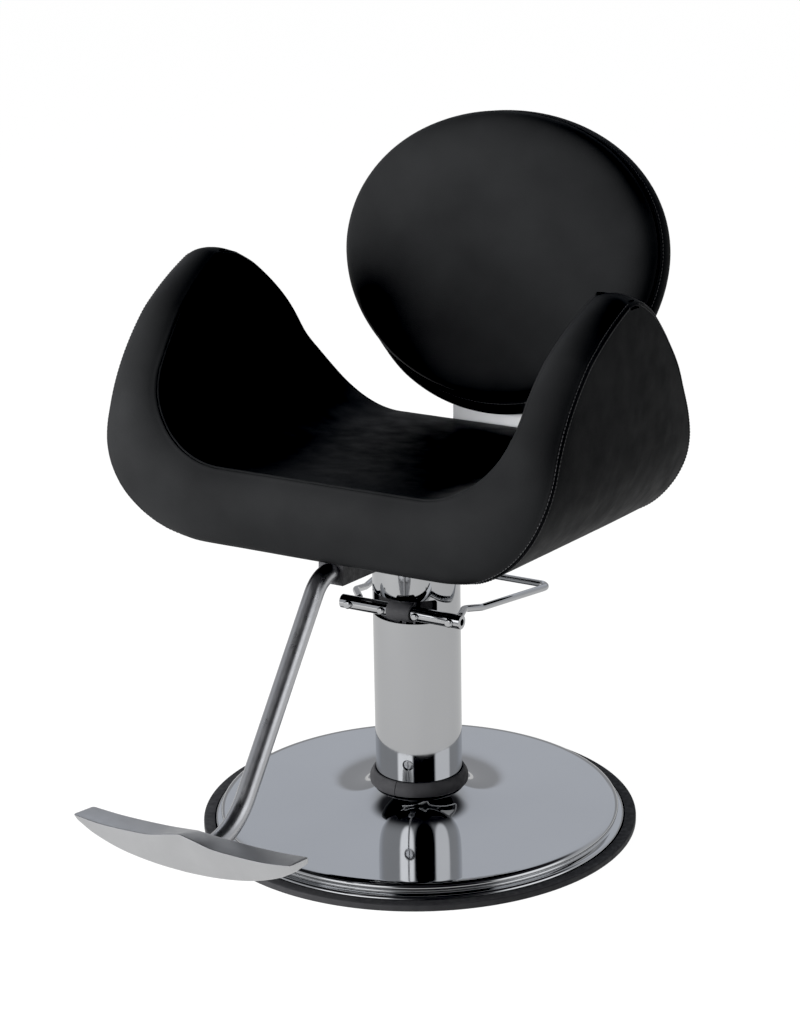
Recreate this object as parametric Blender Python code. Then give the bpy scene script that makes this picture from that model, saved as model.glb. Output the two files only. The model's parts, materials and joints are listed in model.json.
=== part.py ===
"""Hydraulic styling chair.

Metres, +Z up. The origin is on the floor, on the axis of the column. The sitter faces -Y.
"""

import bpy
import bmesh
from math import ceil, cos, exp, pi, radians, sin, tan
from mathutils import Matrix, Vector

# ---------------------------------------------------------------- driving dimensions

GAP = 0.0003                 # clearance between pieces that rest on each other

# base
BASE_R = 0.300               # outside of the rubber floor ring
RING_H = 0.0088
PLATE_R = 0.2685             # steel weight inside the cover
PLATE_H = 0.0085
COVER_R = 0.2835             # chromed cover's flange
COVER_WALL = 0.0015
COVER_RIM_R = 0.266          # where the cover's top turns down
COVER_RIM_Z = 0.0265
COVER_SLOPE = 0.0227
COVER_NECK_R = 0.0625
FLARE_H = 0.0229             # flare round the column, above the slope
FLARE_REACH = 0.026
BOLT_CIRCLE = 0.068          # base bolts, from the axis
BOLT_HOLE_R = 0.0052

# column
SLEEVE_R = 0.0597
SLEEVE_WALL = 0.0020
SLEEVE_FOOT = 0.0225
SLEEVE_TOP = 0.388
SLOT_LOW = 0.305             # window in the sleeve for the pump lever
SLOT_HIGH = 0.338
SLOT_HALF_ANGLE = 57         # degrees each side of the front
SEAM_ANGLE = 15              # degrees from the front towards +X
SLEEVE_SCREW_Z = 0.100
SHIELD_LOW = 0.2995          # rubber shield behind the window
SHIELD_HIGH = 0.3460

# hydraulic unit
RAM_R = 0.0225
RAM_TOP = 0.3885
SPIGOT_R = 0.0160
CYLINDER_R = 0.029
BORE_R = 0.0228
RESERVOIR_R = 0.050
RESERVOIR_H = 0.235
LUG_SPANS = ((0.0055, 0.0115), (0.0225, 0.0260))   # across X, each side of the lever

# pump lever
LEVER_X = 0.017              # middle plane of the lever
PIVOT_Y = -0.044
PIVOT_Z = 0.331
PIN_R = 0.0035
PLUNGER_Y = -0.031
PLUNGER_R = 0.0040
PLUNGER_FOOT = 0.2600
PLUNGER_TRAVEL = 0.007
SPRING_LOW = 0.3012
SPRING_HIGH = 0.3172
SPRING_COIL_R = 0.0058
SPRING_WIRE_R = 0.0008
SPRING_TURNS = 5
BAR_R = 0.0095
BAR_Y = -0.0705
BAR_Z = 0.328
BAR_HALF = 0.0918
LOOP_BOLT_X = 0.0775         # loop ends, each side of the lever's middle
LOOP_WAIST_X = 0.084         # each side of the column, where the loop passes it
LOOP_KNEE = (0.091, 0.018, 0.3175)
YOKE_BOLT_X = 0.026
ROD_R = 0.0048
LOOP_REAR_Y = 0.162
LOOP_REAR_Z = 0.308
LOOP_REAR_HALF = 0.126

# seat, in its own frame: X across, Y rearwards, Z up from the front seam
SEAT_ORIGIN = (0.0, -0.250, 0.555)
SEAT_TILT = 4.5              # degrees, rear down
SEAT_BOTTOM = -0.108
SEAT_FALL = 0.008            # extra fall of the cushion towards the rear
INNER_FLAT = 0.145           # half width of the flat of the sitting surface
INNER_CORNER = 0.120         # corner radius from sitting surface to arm
OUTER_FLAT = 0.173
OUTER_CORNER = 0.155
INNER_TOP_X = 0.279
OUTER_TOP_X = 0.330
ARM_TOP = 0.2403
ARM_TOP_DEPTH = 0.2118
OUTER_DIP = 0.006            # outer edge of an arm's top, below its inner edge
REAR_NARROW = 0.012          # the outside comes in and forward towards its rear corners
REAR_FORWARD = 0.020
BAND = 0.012                 # padded band round the edge of the seat shell

# side view of the arms: (height above the front seam, distance behind it)
FRONT_EDGE = [(-0.108, 0.034), (-0.098, 0.014), (-0.080, 0.005), (-0.045, -0.002), (0.0, 0.0),
              (0.046, 0.0124), (0.0874, 0.0272), (0.1295, 0.052), (0.1725, 0.0887),
              (0.1948, 0.1171), (0.2177, 0.1534), (0.2345, 0.186), (ARM_TOP, ARM_TOP_DEPTH)]
REAR_EDGE = [(-0.108, 0.455), (-0.098, 0.468), (-0.084, 0.4725), (-0.008, 0.4725),
             (0.0522, 0.4473), (0.1039, 0.4021), (0.164, 0.3502), (0.2132, 0.2872),
             (0.2345, 0.245), (ARM_TOP, ARM_TOP_DEPTH)]

# how strongly the rear corners come in, at heights above the front seam
REAR_CORNER = [(-0.108, 0.0), (-0.060, 0.7), (0.0, 1.0), (0.045, 0.95), (0.120, 0.42),
               (0.170, 0.36), (ARM_TOP, 0.0)]

# backrest, in its own frame: X across, Y rearwards, Z up in the plane of the front seam
BACK_ORIGIN = (0.0, 0.244, 0.747)
BACK_TILT = 15.2
BACK_HALF_WIDTH = 0.241
BACK_HALF_HEIGHT = 0.198
BACK_EGG = 0.033             # wider above the middle than below it
BACK_DROP = 0.019            # the rear cover hangs lower than the seam
BACK_BOARD_FRONT = 0.0258
BACK_BOARD_REAR = 0.0378

# under the seat
PLATE_T = 0.006
BRACKET_HALF = 0.065
BRACKET_Y = 0.2276           # middle of the upright behind the seat
TUBE_R = 0.0127
TUBE_WALL = 0.002
TUBE_DROP = 0.0165           # tube axis below the seat's underside

# footrest casting
FOOT_HALF = 0.157
FOOT_FRONT_Y = -0.581
FOOT_REAR_Y = -0.5375
TUBE_FOOT_Z = 0.165

CHROME = ((0.72, 0.73, 0.75), 0.06, 1.0)
SATIN = ((0.66, 0.67, 0.69), 0.30, 1.0)
STEEL = ((0.45, 0.46, 0.48), 0.35, 1.0)
IRON = ((0.05, 0.05, 0.055), 0.55, 0.3)
RUBBER = ((0.035, 0.035, 0.037), 0.75, 0.0)
LEATHER = ((0.012, 0.012, 0.013), 0.42, 0.0)
BRONZE = ((0.55, 0.36, 0.16), 0.35, 1.0)
PLYWOOD = ((0.55, 0.40, 0.24), 0.70, 0.0)
GREY_PAINT = ((0.22, 0.22, 0.235), 0.45, 0.2)

# ---------------------------------------------------------------- small tools


def clear_scene():
    for item in list(bpy.data.objects):
        bpy.data.objects.remove(item, do_unlink=True)


def finish(name, look):
    colour, roughness, metallic = look
    surface = bpy.data.materials.new(name + "_finish")
    surface.use_nodes = True
    shader = surface.node_tree.nodes["Principled BSDF"]
    shader.inputs["Base Color"].default_value = (*colour, 1.0)
    shader.inputs["Roughness"].default_value = roughness
    shader.inputs["Metallic"].default_value = metallic
    surface.diffuse_color = (*colour, 1.0)
    return surface


def add(name, bm, look, parent=None, origin=(0, 0, 0), sharp=35):
    """Turn a bmesh into a named object; its points are given relative to the parent's frame."""
    bmesh.ops.recalc_face_normals(bm, faces=bm.faces)
    bmesh.ops.translate(bm, verts=bm.verts, vec=-Vector(origin))
    mesh = bpy.data.meshes.new(name)
    bm.to_mesh(mesh)
    bm.free()
    mesh.shade_smooth()
    mesh.set_sharp_from_angle(angle=radians(sharp))
    piece = bpy.data.objects.new(name, mesh)
    bpy.context.scene.collection.objects.link(piece)
    piece.location = origin
    piece.parent = parent
    if look:
        mesh.materials.append(finish(name, look))
    return piece


def frame(name, origin, tilt):
    """Empty that carries the pieces of a tilted part."""
    empty = bpy.data.objects.new(name, None)
    bpy.context.scene.collection.objects.link(empty)
    empty.location = origin
    empty.rotation_euler = (radians(-tilt), 0, 0)
    return empty


def cut(piece, cutter):
    """Subtract the cutter from the piece and leave the cutter as a hidden guide."""
    boolean = piece.modifiers.new(cutter.name, "BOOLEAN")
    boolean.operation = "DIFFERENCE"
    boolean.solver = "EXACT"
    boolean.object = cutter
    hide(cutter)


def join(piece, extra):
    boolean = piece.modifiers.new(extra.name, "BOOLEAN")
    boolean.operation = "UNION"
    boolean.solver = "EXACT"
    boolean.object = extra
    hide(extra)


def hide(guide):
    guide.hide_render = True
    guide.display_type = "WIRE"


def around(radius, degrees, height):
    """Point on a circle round the column; 0 degrees is the front and 90 is +X."""
    angle = radians(degrees)
    return Vector((radius * sin(angle), -radius * cos(angle), height))


def turned(outline, steps=32, first=0.0, sweep=360.0):
    """Solid of revolution about Z from an outline of (radius, height)."""
    bm = bmesh.new()
    points = [bm.verts.new(around(r, first, z)) for r, z in outline]
    edges = []
    for start, end in zip(points, points[1:] + points[:1]):
        on_axis = start.co.xy.length < 1e-7 and end.co.xy.length < 1e-7
        if not on_axis:
            edges.append(bm.edges.new((start, end)))
    if sweep < 360:
        edges.append(bm.faces.new(points))
    bmesh.ops.spin(bm, geom=points + edges, cent=(0, 0, 0), axis=(0, 0, 1),
                   angle=radians(sweep), steps=steps, use_merge=sweep == 360,
                   use_duplicate=False)
    bmesh.ops.remove_doubles(bm, verts=bm.verts, dist=1e-6)
    return bm


def offset_inside(points, depth):
    """The same open outline, moved to its right-hand side by depth."""
    moved = []
    for i, point in enumerate(points):
        before = Vector(points[max(i - 1, 0)])
        after = Vector(points[min(i + 1, len(points) - 1)])
        along = (after - before).normalized()
        moved.append((point[0] + along.y * depth, point[1] - along.x * depth))
    return moved


def ring(inner, outer, low, high):
    return [(inner, low), (outer, low), (outer, high), (inner, high)]


def block(low, high, chamfer=0.0):
    bm = bmesh.new()
    bmesh.ops.create_cube(bm, size=1.0)
    size = [b - a for a, b in zip(low, high)]
    middle = [(a + b) / 2 for a, b in zip(low, high)]
    bmesh.ops.scale(bm, verts=bm.verts, vec=size)
    bmesh.ops.translate(bm, verts=bm.verts, vec=middle)
    if chamfer:
        bmesh.ops.bevel(bm, geom=bm.edges[:], offset=chamfer, segments=1, affect="EDGES",
                        offset_type="OFFSET", profile=0.5)
    return bm


def bar(start, end, radius, segments=16):
    """Round bar between two points."""
    start, end = Vector(start), Vector(end)
    along = end - start
    bm = bmesh.new()
    bmesh.ops.create_cone(bm, cap_ends=True, cap_tris=False, segments=segments,
                          radius1=radius, radius2=radius, depth=along.length)
    turn = along.to_track_quat("Z", "Y").to_matrix().to_4x4()
    bmesh.ops.transform(bm, matrix=Matrix.Translation((start + end) / 2) @ turn, verts=bm.verts)
    return bm


def stepped(start, direction, steps, segments=16):
    """Round piece with steps, such as a bolt: steps are (distance from start, radius) pairs."""
    outline = [(0.0, steps[0][0])] + [(r, d) for d, r in steps] + [(0.0, steps[-1][0])]
    bm = turned(outline, steps=segments)
    turn = Vector(direction).to_track_quat("Z", "Y").to_matrix().to_4x4()
    bmesh.ops.transform(bm, matrix=Matrix.Translation(start) @ turn, verts=bm.verts)
    return bm


def rounded_path(corners, radii, step=radians(15)):
    """Open path of straight runs joined by arcs; one radius for each inner corner."""
    corners = [Vector(c) for c in corners]
    path = [corners[0]]
    for i, radius in enumerate(radii, start=1):
        before = (corners[i - 1] - corners[i]).normalized()
        after = (corners[i + 1] - corners[i]).normalized()
        half = before.angle(after) / 2
        bisector = (before + after).normalized()
        centre = corners[i] + bisector * radius / sin(half)
        start = corners[i] + before * radius / tan(half) - centre
        end = corners[i] + after * radius / tan(half) - centre
        turn = start.angle(end)
        count = max(2, ceil(turn / step))
        for k in range(count + 1):
            path.append(centre + start.slerp(end, k / count) * radius)
    path.append(corners[-1])
    return path


def swept(path, radius, segments=12, hollow=0.0):
    """Tube or rod along a path; hollow is the bore's radius, open at both ends."""
    bm = bmesh.new()
    side = Vector((1, 0, 0))
    skins = []
    for size in [radius] + ([hollow] if hollow else []):
        rings = []
        normal = None
        for i, point in enumerate(path):
            along = (path[min(i + 1, len(path) - 1)] - path[max(i - 1, 0)]).normalized()
            if normal is None:
                normal = along.cross(side)
                if normal.length < 0.1:
                    normal = along.cross(Vector((0, 0, 1)))
            normal = (normal - along * normal.dot(along)).normalized()
            across = along.cross(normal)
            rings.append([bm.verts.new(point + normal * size * cos(2 * pi * k / segments)
                                       + across * size * sin(2 * pi * k / segments))
                          for k in range(segments)])
        skins.append(rings)
    for rings in skins:
        for a, b in zip(rings, rings[1:]):
            stitch(bm, a, b)
    if hollow:
        stitch(bm, skins[0][0], skins[1][0])
        stitch(bm, skins[0][-1], skins[1][-1])
    else:
        bm.faces.new(skins[0][0])
        bm.faces.new(skins[0][-1])
    return bm


def stitch(bm, loop, other):
    for k in range(len(loop)):
        after = (k + 1) % len(loop)
        bm.faces.new((loop[k], loop[after], other[after], other[k]))


def extruded(outline, half_width):
    """Outline of (y, z) extruded along X, to both sides of the middle."""
    bm = bmesh.new()
    left = [bm.verts.new((-half_width, y, z)) for y, z in outline]
    right = [bm.verts.new((half_width, y, z)) for y, z in outline]
    bm.faces.new(left)
    bm.faces.new(right)
    stitch(bm, left, right)
    return bm


def between(points, value):
    """Smooth curve through (position, value) pairs, read at one position."""
    value = min(max(value, points[0][0]), points[-1][0])
    for i in range(len(points) - 1):
        if value <= points[i + 1][0]:
            break
    x0, y0 = points[i]
    x1, y1 = points[i + 1]
    slopes = []
    for k in (i, i + 1):
        low, high = points[max(k - 1, 0)], points[min(k + 1, len(points) - 1)]
        slopes.append((high[1] - low[1]) / (high[0] - low[0]))
    width = x1 - x0
    t = (value - x0) / width
    return ((2 * t ** 3 - 3 * t ** 2 + 1) * y0 + (t ** 3 - 2 * t ** 2 + t) * width * slopes[0]
            + (3 * t ** 2 - 2 * t ** 3) * y1 + (t ** 3 - t ** 2) * width * slopes[1])


# ---------------------------------------------------------------- base


def build_base():
    add("floor_ring", turned([(PLATE_R + GAP, 0), (BASE_R - 0.0015, 0), (BASE_R, 0.0015),
                              (BASE_R, RING_H - 0.0016), (BASE_R - 0.0015, RING_H),
                              (COVER_R + 0.0008, RING_H), (COVER_R + 0.0008, 0.0060),
                              (PLATE_R + GAP, 0.0060)], steps=56), RUBBER)

    plate = add("base_plate", turned([(0, 0), (PLATE_R - 0.001, 0), (PLATE_R, 0.001),
                                      (PLATE_R, PLATE_H), (0, PLATE_H)], steps=56), STEEL)
    for i in range(4):
        centre = around(BOLT_CIRCLE, 45 + 90 * i, 0)
        hole = add(f"plate_hole_{i + 1}", bar(centre + Vector((0, 0, 0.003)),
                                              centre + Vector((0, 0, 0.012)), BOLT_HOLE_R, 12),
                   None)
        cut(plate, hole)
        bolt = stepped(centre + Vector((0, 0, 0.0033)), (0, 0, 1),
                       [(0, 0.0045), (0.0185, 0.0045), (0.0185, 0.0085), (0.0250, 0.0085)], 12)
        add(f"base_bolt_{i + 1}", bolt, STEEL)

    radii = [COVER_NECK_R, 0.068, 0.075, 0.084, 0.096, 0.112, 0.136, 0.170, COVER_RIM_R]
    outside = [(r, cover_height(r)) for r in radii]
    outside += [(0.2728, 0.0247), (0.2753, 0.0213), (0.2722, 0.0158), (0.2770, 0.0126),
                (0.2822, 0.0110), (COVER_R, 0.0064)]
    inside = offset_inside(outside, COVER_WALL)
    inside[-1] = (COVER_R - COVER_WALL, 0.0064)
    add("base_cover", turned(outside + inside[::-1], steps=56), CHROME)


def cover_height(r):
    """Top of the chromed cover: a slight slope that flares up to the column."""
    flare = FLARE_H * exp(-(r - COVER_NECK_R) / FLARE_REACH)
    return COVER_RIM_Z + COVER_SLOPE * (COVER_RIM_R - r) + flare


# ---------------------------------------------------------------- column


def build_column():
    foot = add("column_ring", turned([(0.0601, 0.0543), (0.0655, 0.0543), (0.0678, 0.0570),
                                      (0.0682, 0.0615), (0.0662, 0.0690), (0.0620, 0.0748),
                                      (0.0601, 0.0748)], steps=40), RUBBER)
    cut(foot, add("ring_split", block((-0.0004, -0.080, 0.050), (0.0004, -0.050, 0.080)), None))

    sleeve = add("column_sleeve", turned(ring(SLEEVE_R - SLEEVE_WALL, SLEEVE_R, SLEEVE_FOOT,
                                              SLEEVE_TOP), steps=48), CHROME)
    window = turned(ring(0.050, 0.070, SLOT_LOW, SLOT_HIGH), steps=24,
                    first=-SLOT_HALF_ANGLE, sweep=2 * SLOT_HALF_ANGLE)
    cut(sleeve, add("sleeve_window", window, None))
    seam = block((-0.0003, -0.070, SLOT_HIGH - 0.002), (0.0003, -0.050, SLEEVE_TOP + 0.002))
    bmesh.ops.rotate(seam, verts=seam.verts, cent=(0, 0, 0),
                     matrix=Matrix.Rotation(radians(SEAM_ANGLE), 3, "Z"))
    cut(sleeve, add("sleeve_seam", seam, None))
    cut(sleeve, add("sleeve_screw_hole", bar(around(0.050, SEAM_ANGLE, SLEEVE_SCREW_Z),
                                             around(0.070, SEAM_ANGLE, SLEEVE_SCREW_Z),
                                             0.0077, 20), None))

    outward = around(1.0, SEAM_ANGLE, 0)
    screw = add("sleeve_screw", stepped(around(0.0425, SEAM_ANGLE, SLEEVE_SCREW_Z), outward,
                                        [(0, 0.0027), (0.0105, 0.0027), (0.0105, 0.0072),
                                         (0.0152, 0.0072), (0.0162, 0.0062)], 20), STEEL)
    groove = block((-0.0008, -0.062, SLEEVE_SCREW_Z - 0.012), (0.0008, -0.0570,
                                                                SLEEVE_SCREW_Z + 0.012))
    bmesh.ops.rotate(groove, verts=groove.verts, cent=(0, 0, 0),
                     matrix=Matrix.Rotation(radians(SEAM_ANGLE), 3, "Z"))
    cut(screw, add("screw_groove", groove, None))

    shield = add("slot_shield", turned(ring(0.0500, 0.0515, SHIELD_LOW, SHIELD_HIGH), steps=24,
                                       first=-64, sweep=128), RUBBER)
    for side in (-1, 1):
        tab = turned(ring(0.0505, SLEEVE_R - SLEEVE_WALL - GAP, SHIELD_LOW, SHIELD_HIGH),
                     steps=3, first=side * 63.5 - 2.5, sweep=5)
        join(shield, add(f"shield_tab_{side + 2}", tab, None))
    cut(shield, add("shield_window", block((0.0030, -0.070, 0.290), (0.0290, -0.020, 0.3410)),
                    None))


# ---------------------------------------------------------------- hydraulic unit


def build_hydraulics():
    body = add("cylinder_body", turned([(0, PLATE_H + GAP), (0.085, PLATE_H + GAP),
                                        (0.085, 0.0165), (0.082, 0.0213), (0.053, 0.0213),
                                        (RESERVOIR_R, 0.024), (RESERVOIR_R, RESERVOIR_H - 0.005),
                                        (0.046, RESERVOIR_H), (CYLINDER_R, RESERVOIR_H),
                                        (CYLINDER_R, 0.372), (0.0268, 0.372), (0.0268, 0.340),
                                        (BORE_R, 0.340), (BORE_R, 0.030), (0, 0.030)]),
               IRON)
    join(body, add("pump_boss", block((0.0055, -0.0495, RESERVOIR_H - 0.004),
                                      (0.0262, -0.0250, 0.300)), None))
    for i, (low, high) in enumerate(LUG_SPANS, start=1):
        lug = block((low, PIVOT_Y - 0.006, 0.292), (high, PIVOT_Y + 0.006, PIVOT_Z + 0.0045))
        join(body, add(f"pump_lug_{i}", lug, None))
    foot = PLUNGER_FOOT - PLUNGER_TRAVEL - 0.002
    cut(body, add("plunger_bore", bar((LEVER_X, PLUNGER_Y, foot), (LEVER_X, PLUNGER_Y, 0.310),
                                      PLUNGER_R + 0.0005, 12), None))
    cut(body, add("spring_relief", bar((LEVER_X, PLUNGER_Y, 0.300), (LEVER_X, PLUNGER_Y, 0.337),
                                       0.0086, 20), None))
    cut(body, add("pivot_bore", bar((0.000, PIVOT_Y, PIVOT_Z), (0.040, PIVOT_Y, PIVOT_Z),
                                    PIN_R + 0.0002, 12), None))
    cut(body, add("body_screw_hole", bar(around(0.0415, SEAM_ANGLE, SLEEVE_SCREW_Z),
                                         around(0.060, SEAM_ANGLE, SLEEVE_SCREW_Z),
                                         0.0031, 12), None))
    for i in range(4):
        centre = around(BOLT_CIRCLE, 45 + 90 * i, 0)
        cut(body, add(f"flange_hole_{i + 1}", bar(centre + Vector((0, 0, 0.004)),
                                                  centre + Vector((0, 0, 0.030)),
                                                  BOLT_HOLE_R, 12), None))

    add("ram_seal", turned(ring(0.0227, 0.0265, 0.3403, 0.3470)), RUBBER)
    add("guide_bush", turned(ring(0.0227, 0.0265, 0.3473, 0.3717)), BRONZE)
    add("gland_cap", turned([(0.0230, 0.3723), (0.0554, 0.3723), (0.0572, 0.3740),
                             (0.0572, 0.3830), (0.0560, 0.3845), (0.0230, 0.3845)]), IRON)

    add("piston", turned([(0, 0.0303), (0.0222, 0.0303), (0.0222, 0.0345), (0.0190, 0.0345),
                          (0.0190, 0.0400), (0.0222, 0.0400), (0.0222, 0.0457),
                          (0, 0.0457)]), STEEL)
    add("piston_seal", turned(ring(0.0193, 0.0226, 0.0348, 0.0397)), RUBBER)
    add("ram", turned([(0, 0.0460), (RAM_R, 0.0460), (RAM_R, RAM_TOP), (SPIGOT_R, RAM_TOP),
                       (SPIGOT_R, 0.4120), (0.0148, 0.4132), (0, 0.4132)]), CHROME)
    add("thrust_washer", turned(ring(SPIGOT_R + GAP, 0.0310, RAM_TOP + GAP, 0.3935)), BRONZE)

    plunger = turned([(0, PLUNGER_FOOT), (PLUNGER_R, PLUNGER_FOOT), (PLUNGER_R, 0.3185),
                      (0.0074, 0.3185), (0.0074, 0.3205), (PLUNGER_R, 0.3205),
                      (PLUNGER_R, 0.3290), (0.0030, 0.3300), (0, 0.3300)], steps=16)
    bmesh.ops.translate(plunger, verts=plunger.verts, vec=(LEVER_X, PLUNGER_Y, 0))
    add("pump_plunger", plunger, STEEL, origin=(LEVER_X, PLUNGER_Y, 0.300))

    steps = SPRING_TURNS * 10
    rise = (SPRING_HIGH - SPRING_LOW) / steps
    path = [Vector((LEVER_X + SPRING_COIL_R * cos(2 * pi * k / 10),
                    PLUNGER_Y + SPRING_COIL_R * sin(2 * pi * k / 10),
                    SPRING_LOW + rise * k)) for k in range(steps + 1)]
    add("return_spring", swept(path, SPRING_WIRE_R, 5), STEEL)

    add("lever_pin", bar((0.0050, PIVOT_Y, PIVOT_Z), (0.0262, PIVOT_Y, PIVOT_Z), PIN_R, 16),
        STEEL)


# ---------------------------------------------------------------- pump lever


def build_lever():
    pivot = (LEVER_X, PIVOT_Y, PIVOT_Z)
    outline = [(PIVOT_Y - 0.0135, PIVOT_Z - 0.0090), (PIVOT_Y - 0.0050, PIVOT_Z - 0.0062),
               (PIVOT_Y + 0.0050, PIVOT_Z - 0.0058), (PIVOT_Y + 0.0085, PIVOT_Z - 0.0007),
               (PIVOT_Y + 0.0170, PIVOT_Z - 0.0007), (PIVOT_Y + 0.0170, PIVOT_Z + 0.0045),
               (PIVOT_Y + 0.0040, PIVOT_Z + 0.0060), (PIVOT_Y - 0.0040, PIVOT_Z + 0.0055),
               (PIVOT_Y - 0.0135, PIVOT_Z - 0.0002)]
    tongue = extruded(outline, 0.005)
    bmesh.ops.translate(tongue, verts=tongue.verts, vec=(LEVER_X, 0, 0))
    yoke = add("lever_yoke", tongue, IRON, origin=pivot)
    head = block((LEVER_X - 0.033, BAR_Y + BAR_R + GAP, PIVOT_Z - 0.0090),
                 (LEVER_X + 0.033, BAR_Y + BAR_R + 0.0055, PIVOT_Z - 0.0002))
    join(yoke, add("yoke_head", head, None))
    cut(yoke, add("yoke_bore", bar((0.000, PIVOT_Y, PIVOT_Z), (0.040, PIVOT_Y, PIVOT_Z),
                                   PIN_R + 0.0002, 16), None))

    crossbar = add("crossbar", bar((LEVER_X - BAR_HALF, BAR_Y, BAR_Z),
                                   (LEVER_X + BAR_HALF, BAR_Y, BAR_Z), BAR_R, 32), CHROME,
                   origin=pivot)
    for side in (-1, 1):
        end = LEVER_X + side * BAR_HALF
        socket = bar((end - side * 0.012, BAR_Y, BAR_Z), (end + side * 0.002, BAR_Y, BAR_Z),
                     0.0045, 16)
        cut(crossbar, add(f"bar_socket_{side + 2}", socket, None))

    places = {"yoke_bolt_left": -YOKE_BOLT_X, "yoke_bolt_right": YOKE_BOLT_X,
              "loop_bolt_left": -LOOP_BOLT_X, "loop_bolt_right": LOOP_BOLT_X}
    for name, offset in places.items():
        x = LEVER_X + offset
        hole = bar((x, BAR_Y - 0.015, BAR_Z), (x, BAR_Y + 0.020, BAR_Z), 0.0030, 12)
        guide = add(name + "_hole", hole, None)
        cut(crossbar, guide)
        reach = 0.0092
        if name.startswith("yoke"):
            reach = 0.0130
            cut(yoke, guide)
        screw = stepped((x, BAR_Y + reach, BAR_Z), (0, -1, 0),
                        [(0, 0.0026), (reach + 0.0098, 0.0026), (reach + 0.0098, 0.0056),
                         (reach + 0.0128, 0.0056), (reach + 0.0140, 0.0044)], 16)
        add(name, screw, CHROME, origin=pivot)

    collar = add("bar_collar", bar((LEVER_X - 0.0178, BAR_Y, BAR_Z),
                                   (LEVER_X + 0.0178, BAR_Y, BAR_Z), 0.0128, 32), RUBBER,
                 origin=pivot)
    cut(collar, add("collar_bore", bar((LEVER_X - 0.030, BAR_Y, BAR_Z),
                                       (LEVER_X + 0.030, BAR_Y, BAR_Z), BAR_R + GAP, 32), None))
    cut(collar, add("collar_opening", block((LEVER_X - 0.030, BAR_Y + 0.0045, BAR_Z - 0.020),
                                            (LEVER_X + 0.030, BAR_Y + 0.030, BAR_Z + 0.020)),
                    None))

    start_y = BAR_Y + BAR_R + GAP
    right = LEVER_X + LOOP_BOLT_X
    left = LEVER_X - LOOP_BOLT_X
    knee_x, knee_y, knee_z = LOOP_KNEE
    corners = [(right, start_y, BAR_Z), (right, start_y + 0.012, BAR_Z - 0.0003),
               (LOOP_WAIST_X, -0.020, BAR_Z - 0.0015), LOOP_KNEE,
               (LOOP_REAR_HALF, LOOP_REAR_Y, LOOP_REAR_Z),
               (-LOOP_REAR_HALF, LOOP_REAR_Y, LOOP_REAR_Z), (-knee_x, knee_y, knee_z),
               (-LOOP_WAIST_X, -0.020, BAR_Z - 0.0015),
               (left, start_y + 0.012, BAR_Z - 0.0003), (left, start_y, BAR_Z)]
    bends = [0.010, 0.020, 0.030, 0.014, 0.014, 0.030, 0.020, 0.010]
    path = rounded_path(corners, bends, step=radians(18))
    add("lever_loop", swept(path, ROD_R, 12), CHROME, origin=pivot)


# ---------------------------------------------------------------- seat shell


def contour(s, fraction):
    """Front view of the shell: s runs from the left arm's top (-1) to the right one's (1).

    Fraction 0 is the sitter's side and 1 the outside. Returns (x, height).
    """
    flat, corner = 0.20, 0.58
    side, reach = (1 if s >= 0 else -1), abs(s)
    lines = []
    for half, radius, low, top in ((INNER_FLAT, INNER_CORNER, 0.0, INNER_TOP_X),
                                   (OUTER_FLAT, OUTER_CORNER, SEAT_BOTTOM, OUTER_TOP_X)):
        if reach <= flat:
            lines.append((half * reach / flat, low))
        elif reach <= corner:
            angle = (reach - flat) / (corner - flat) * pi / 2
            lines.append((half + radius * sin(angle), low + radius * (1 - cos(angle))))
        else:
            rise = (reach - corner) / (1 - corner)
            lines.append((half + radius + (top - half - radius) * rise ** 1.5,
                          low + radius + (ARM_TOP - low - radius) * rise))
    (x0, z0), (x1, z1) = lines
    return side * (x0 + fraction * (x1 - x0)), z0 + fraction * (z1 - z0)


def shell_point(s, t, fraction, inset):
    """Point of the shell: t runs from the front edge (0) to the rear edge (1)."""
    x, z = contour(s, fraction)
    front, rear = between(FRONT_EDGE, z), between(REAR_EDGE, z)
    middle, half = (front + rear) / 2, (rear - front) / 2
    half = max(half - inset, 0.0015)
    pull = between(REAR_CORNER, z) * fraction * t * t
    x -= REAR_NARROW * pull * (1 if s >= 0 else -1)
    y = middle + (2 * t - 1) * half - REAR_FORWARD * pull
    lift = max(z - INNER_CORNER * 0.5, 0) / (ARM_TOP - INNER_CORNER * 0.5)
    fall = SEAT_FALL * t * (1 - fraction) * max(0.0, 1 - max(z, 0) / 0.08)
    dip = OUTER_DIP * fraction * max(0.0, (abs(s) - 0.58) / 0.42) ** 2
    return Vector((x, y, z - inset * lift - fall - dip))


def spacing(low, high, count):
    return [low + (high - low) * k / count for k in range(count + 1)]


ARM_ROWS = [0.67, 0.76, 0.85, 0.92, 0.965, 0.995]
HALF_ROWS = [0.12] + spacing(0.20, 0.58, 6) + ARM_ROWS


def shell_layer(low, high, inset, rows=None, rim=2, columns=6):
    """Closed layer of the shell between two fractions; low and high are functions of s."""
    rows = rows or [-s for s in HALF_ROWS[::-1]] + [0.0] + HALF_ROWS
    depths = [0.5 - 0.5 * cos(pi * k / columns) for k in range(columns + 1)]
    bm = bmesh.new()
    loops = []
    for s in rows:
        a, b = low(abs(s)), high(abs(s))
        loop = [(t, a) for t in depths]
        loop += [(1.0, a + (b - a) * k / rim) for k in range(1, rim)]
        loop += [(t, b) for t in depths[::-1]]
        loop += [(0.0, b + (a - b) * k / rim) for k in range(1, rim)]
        loops.append([bm.verts.new(shell_point(s, t, f, inset)) for t, f in loop])
    for a, b in zip(loops, loops[1:]):
        stitch(bm, a, b)
    bm.faces.new(loops[0])
    bm.faces.new(loops[-1])
    return bm


def blend(seat, arm):
    """Fraction that changes smoothly from the seat's bottom to the arms."""
    def at(s):
        step = min(max((s - 0.15) / 0.45, 0.0), 1.0)
        step = step * step * (3 - 2 * step)
        return seat + (arm - seat) * step
    return at


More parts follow.
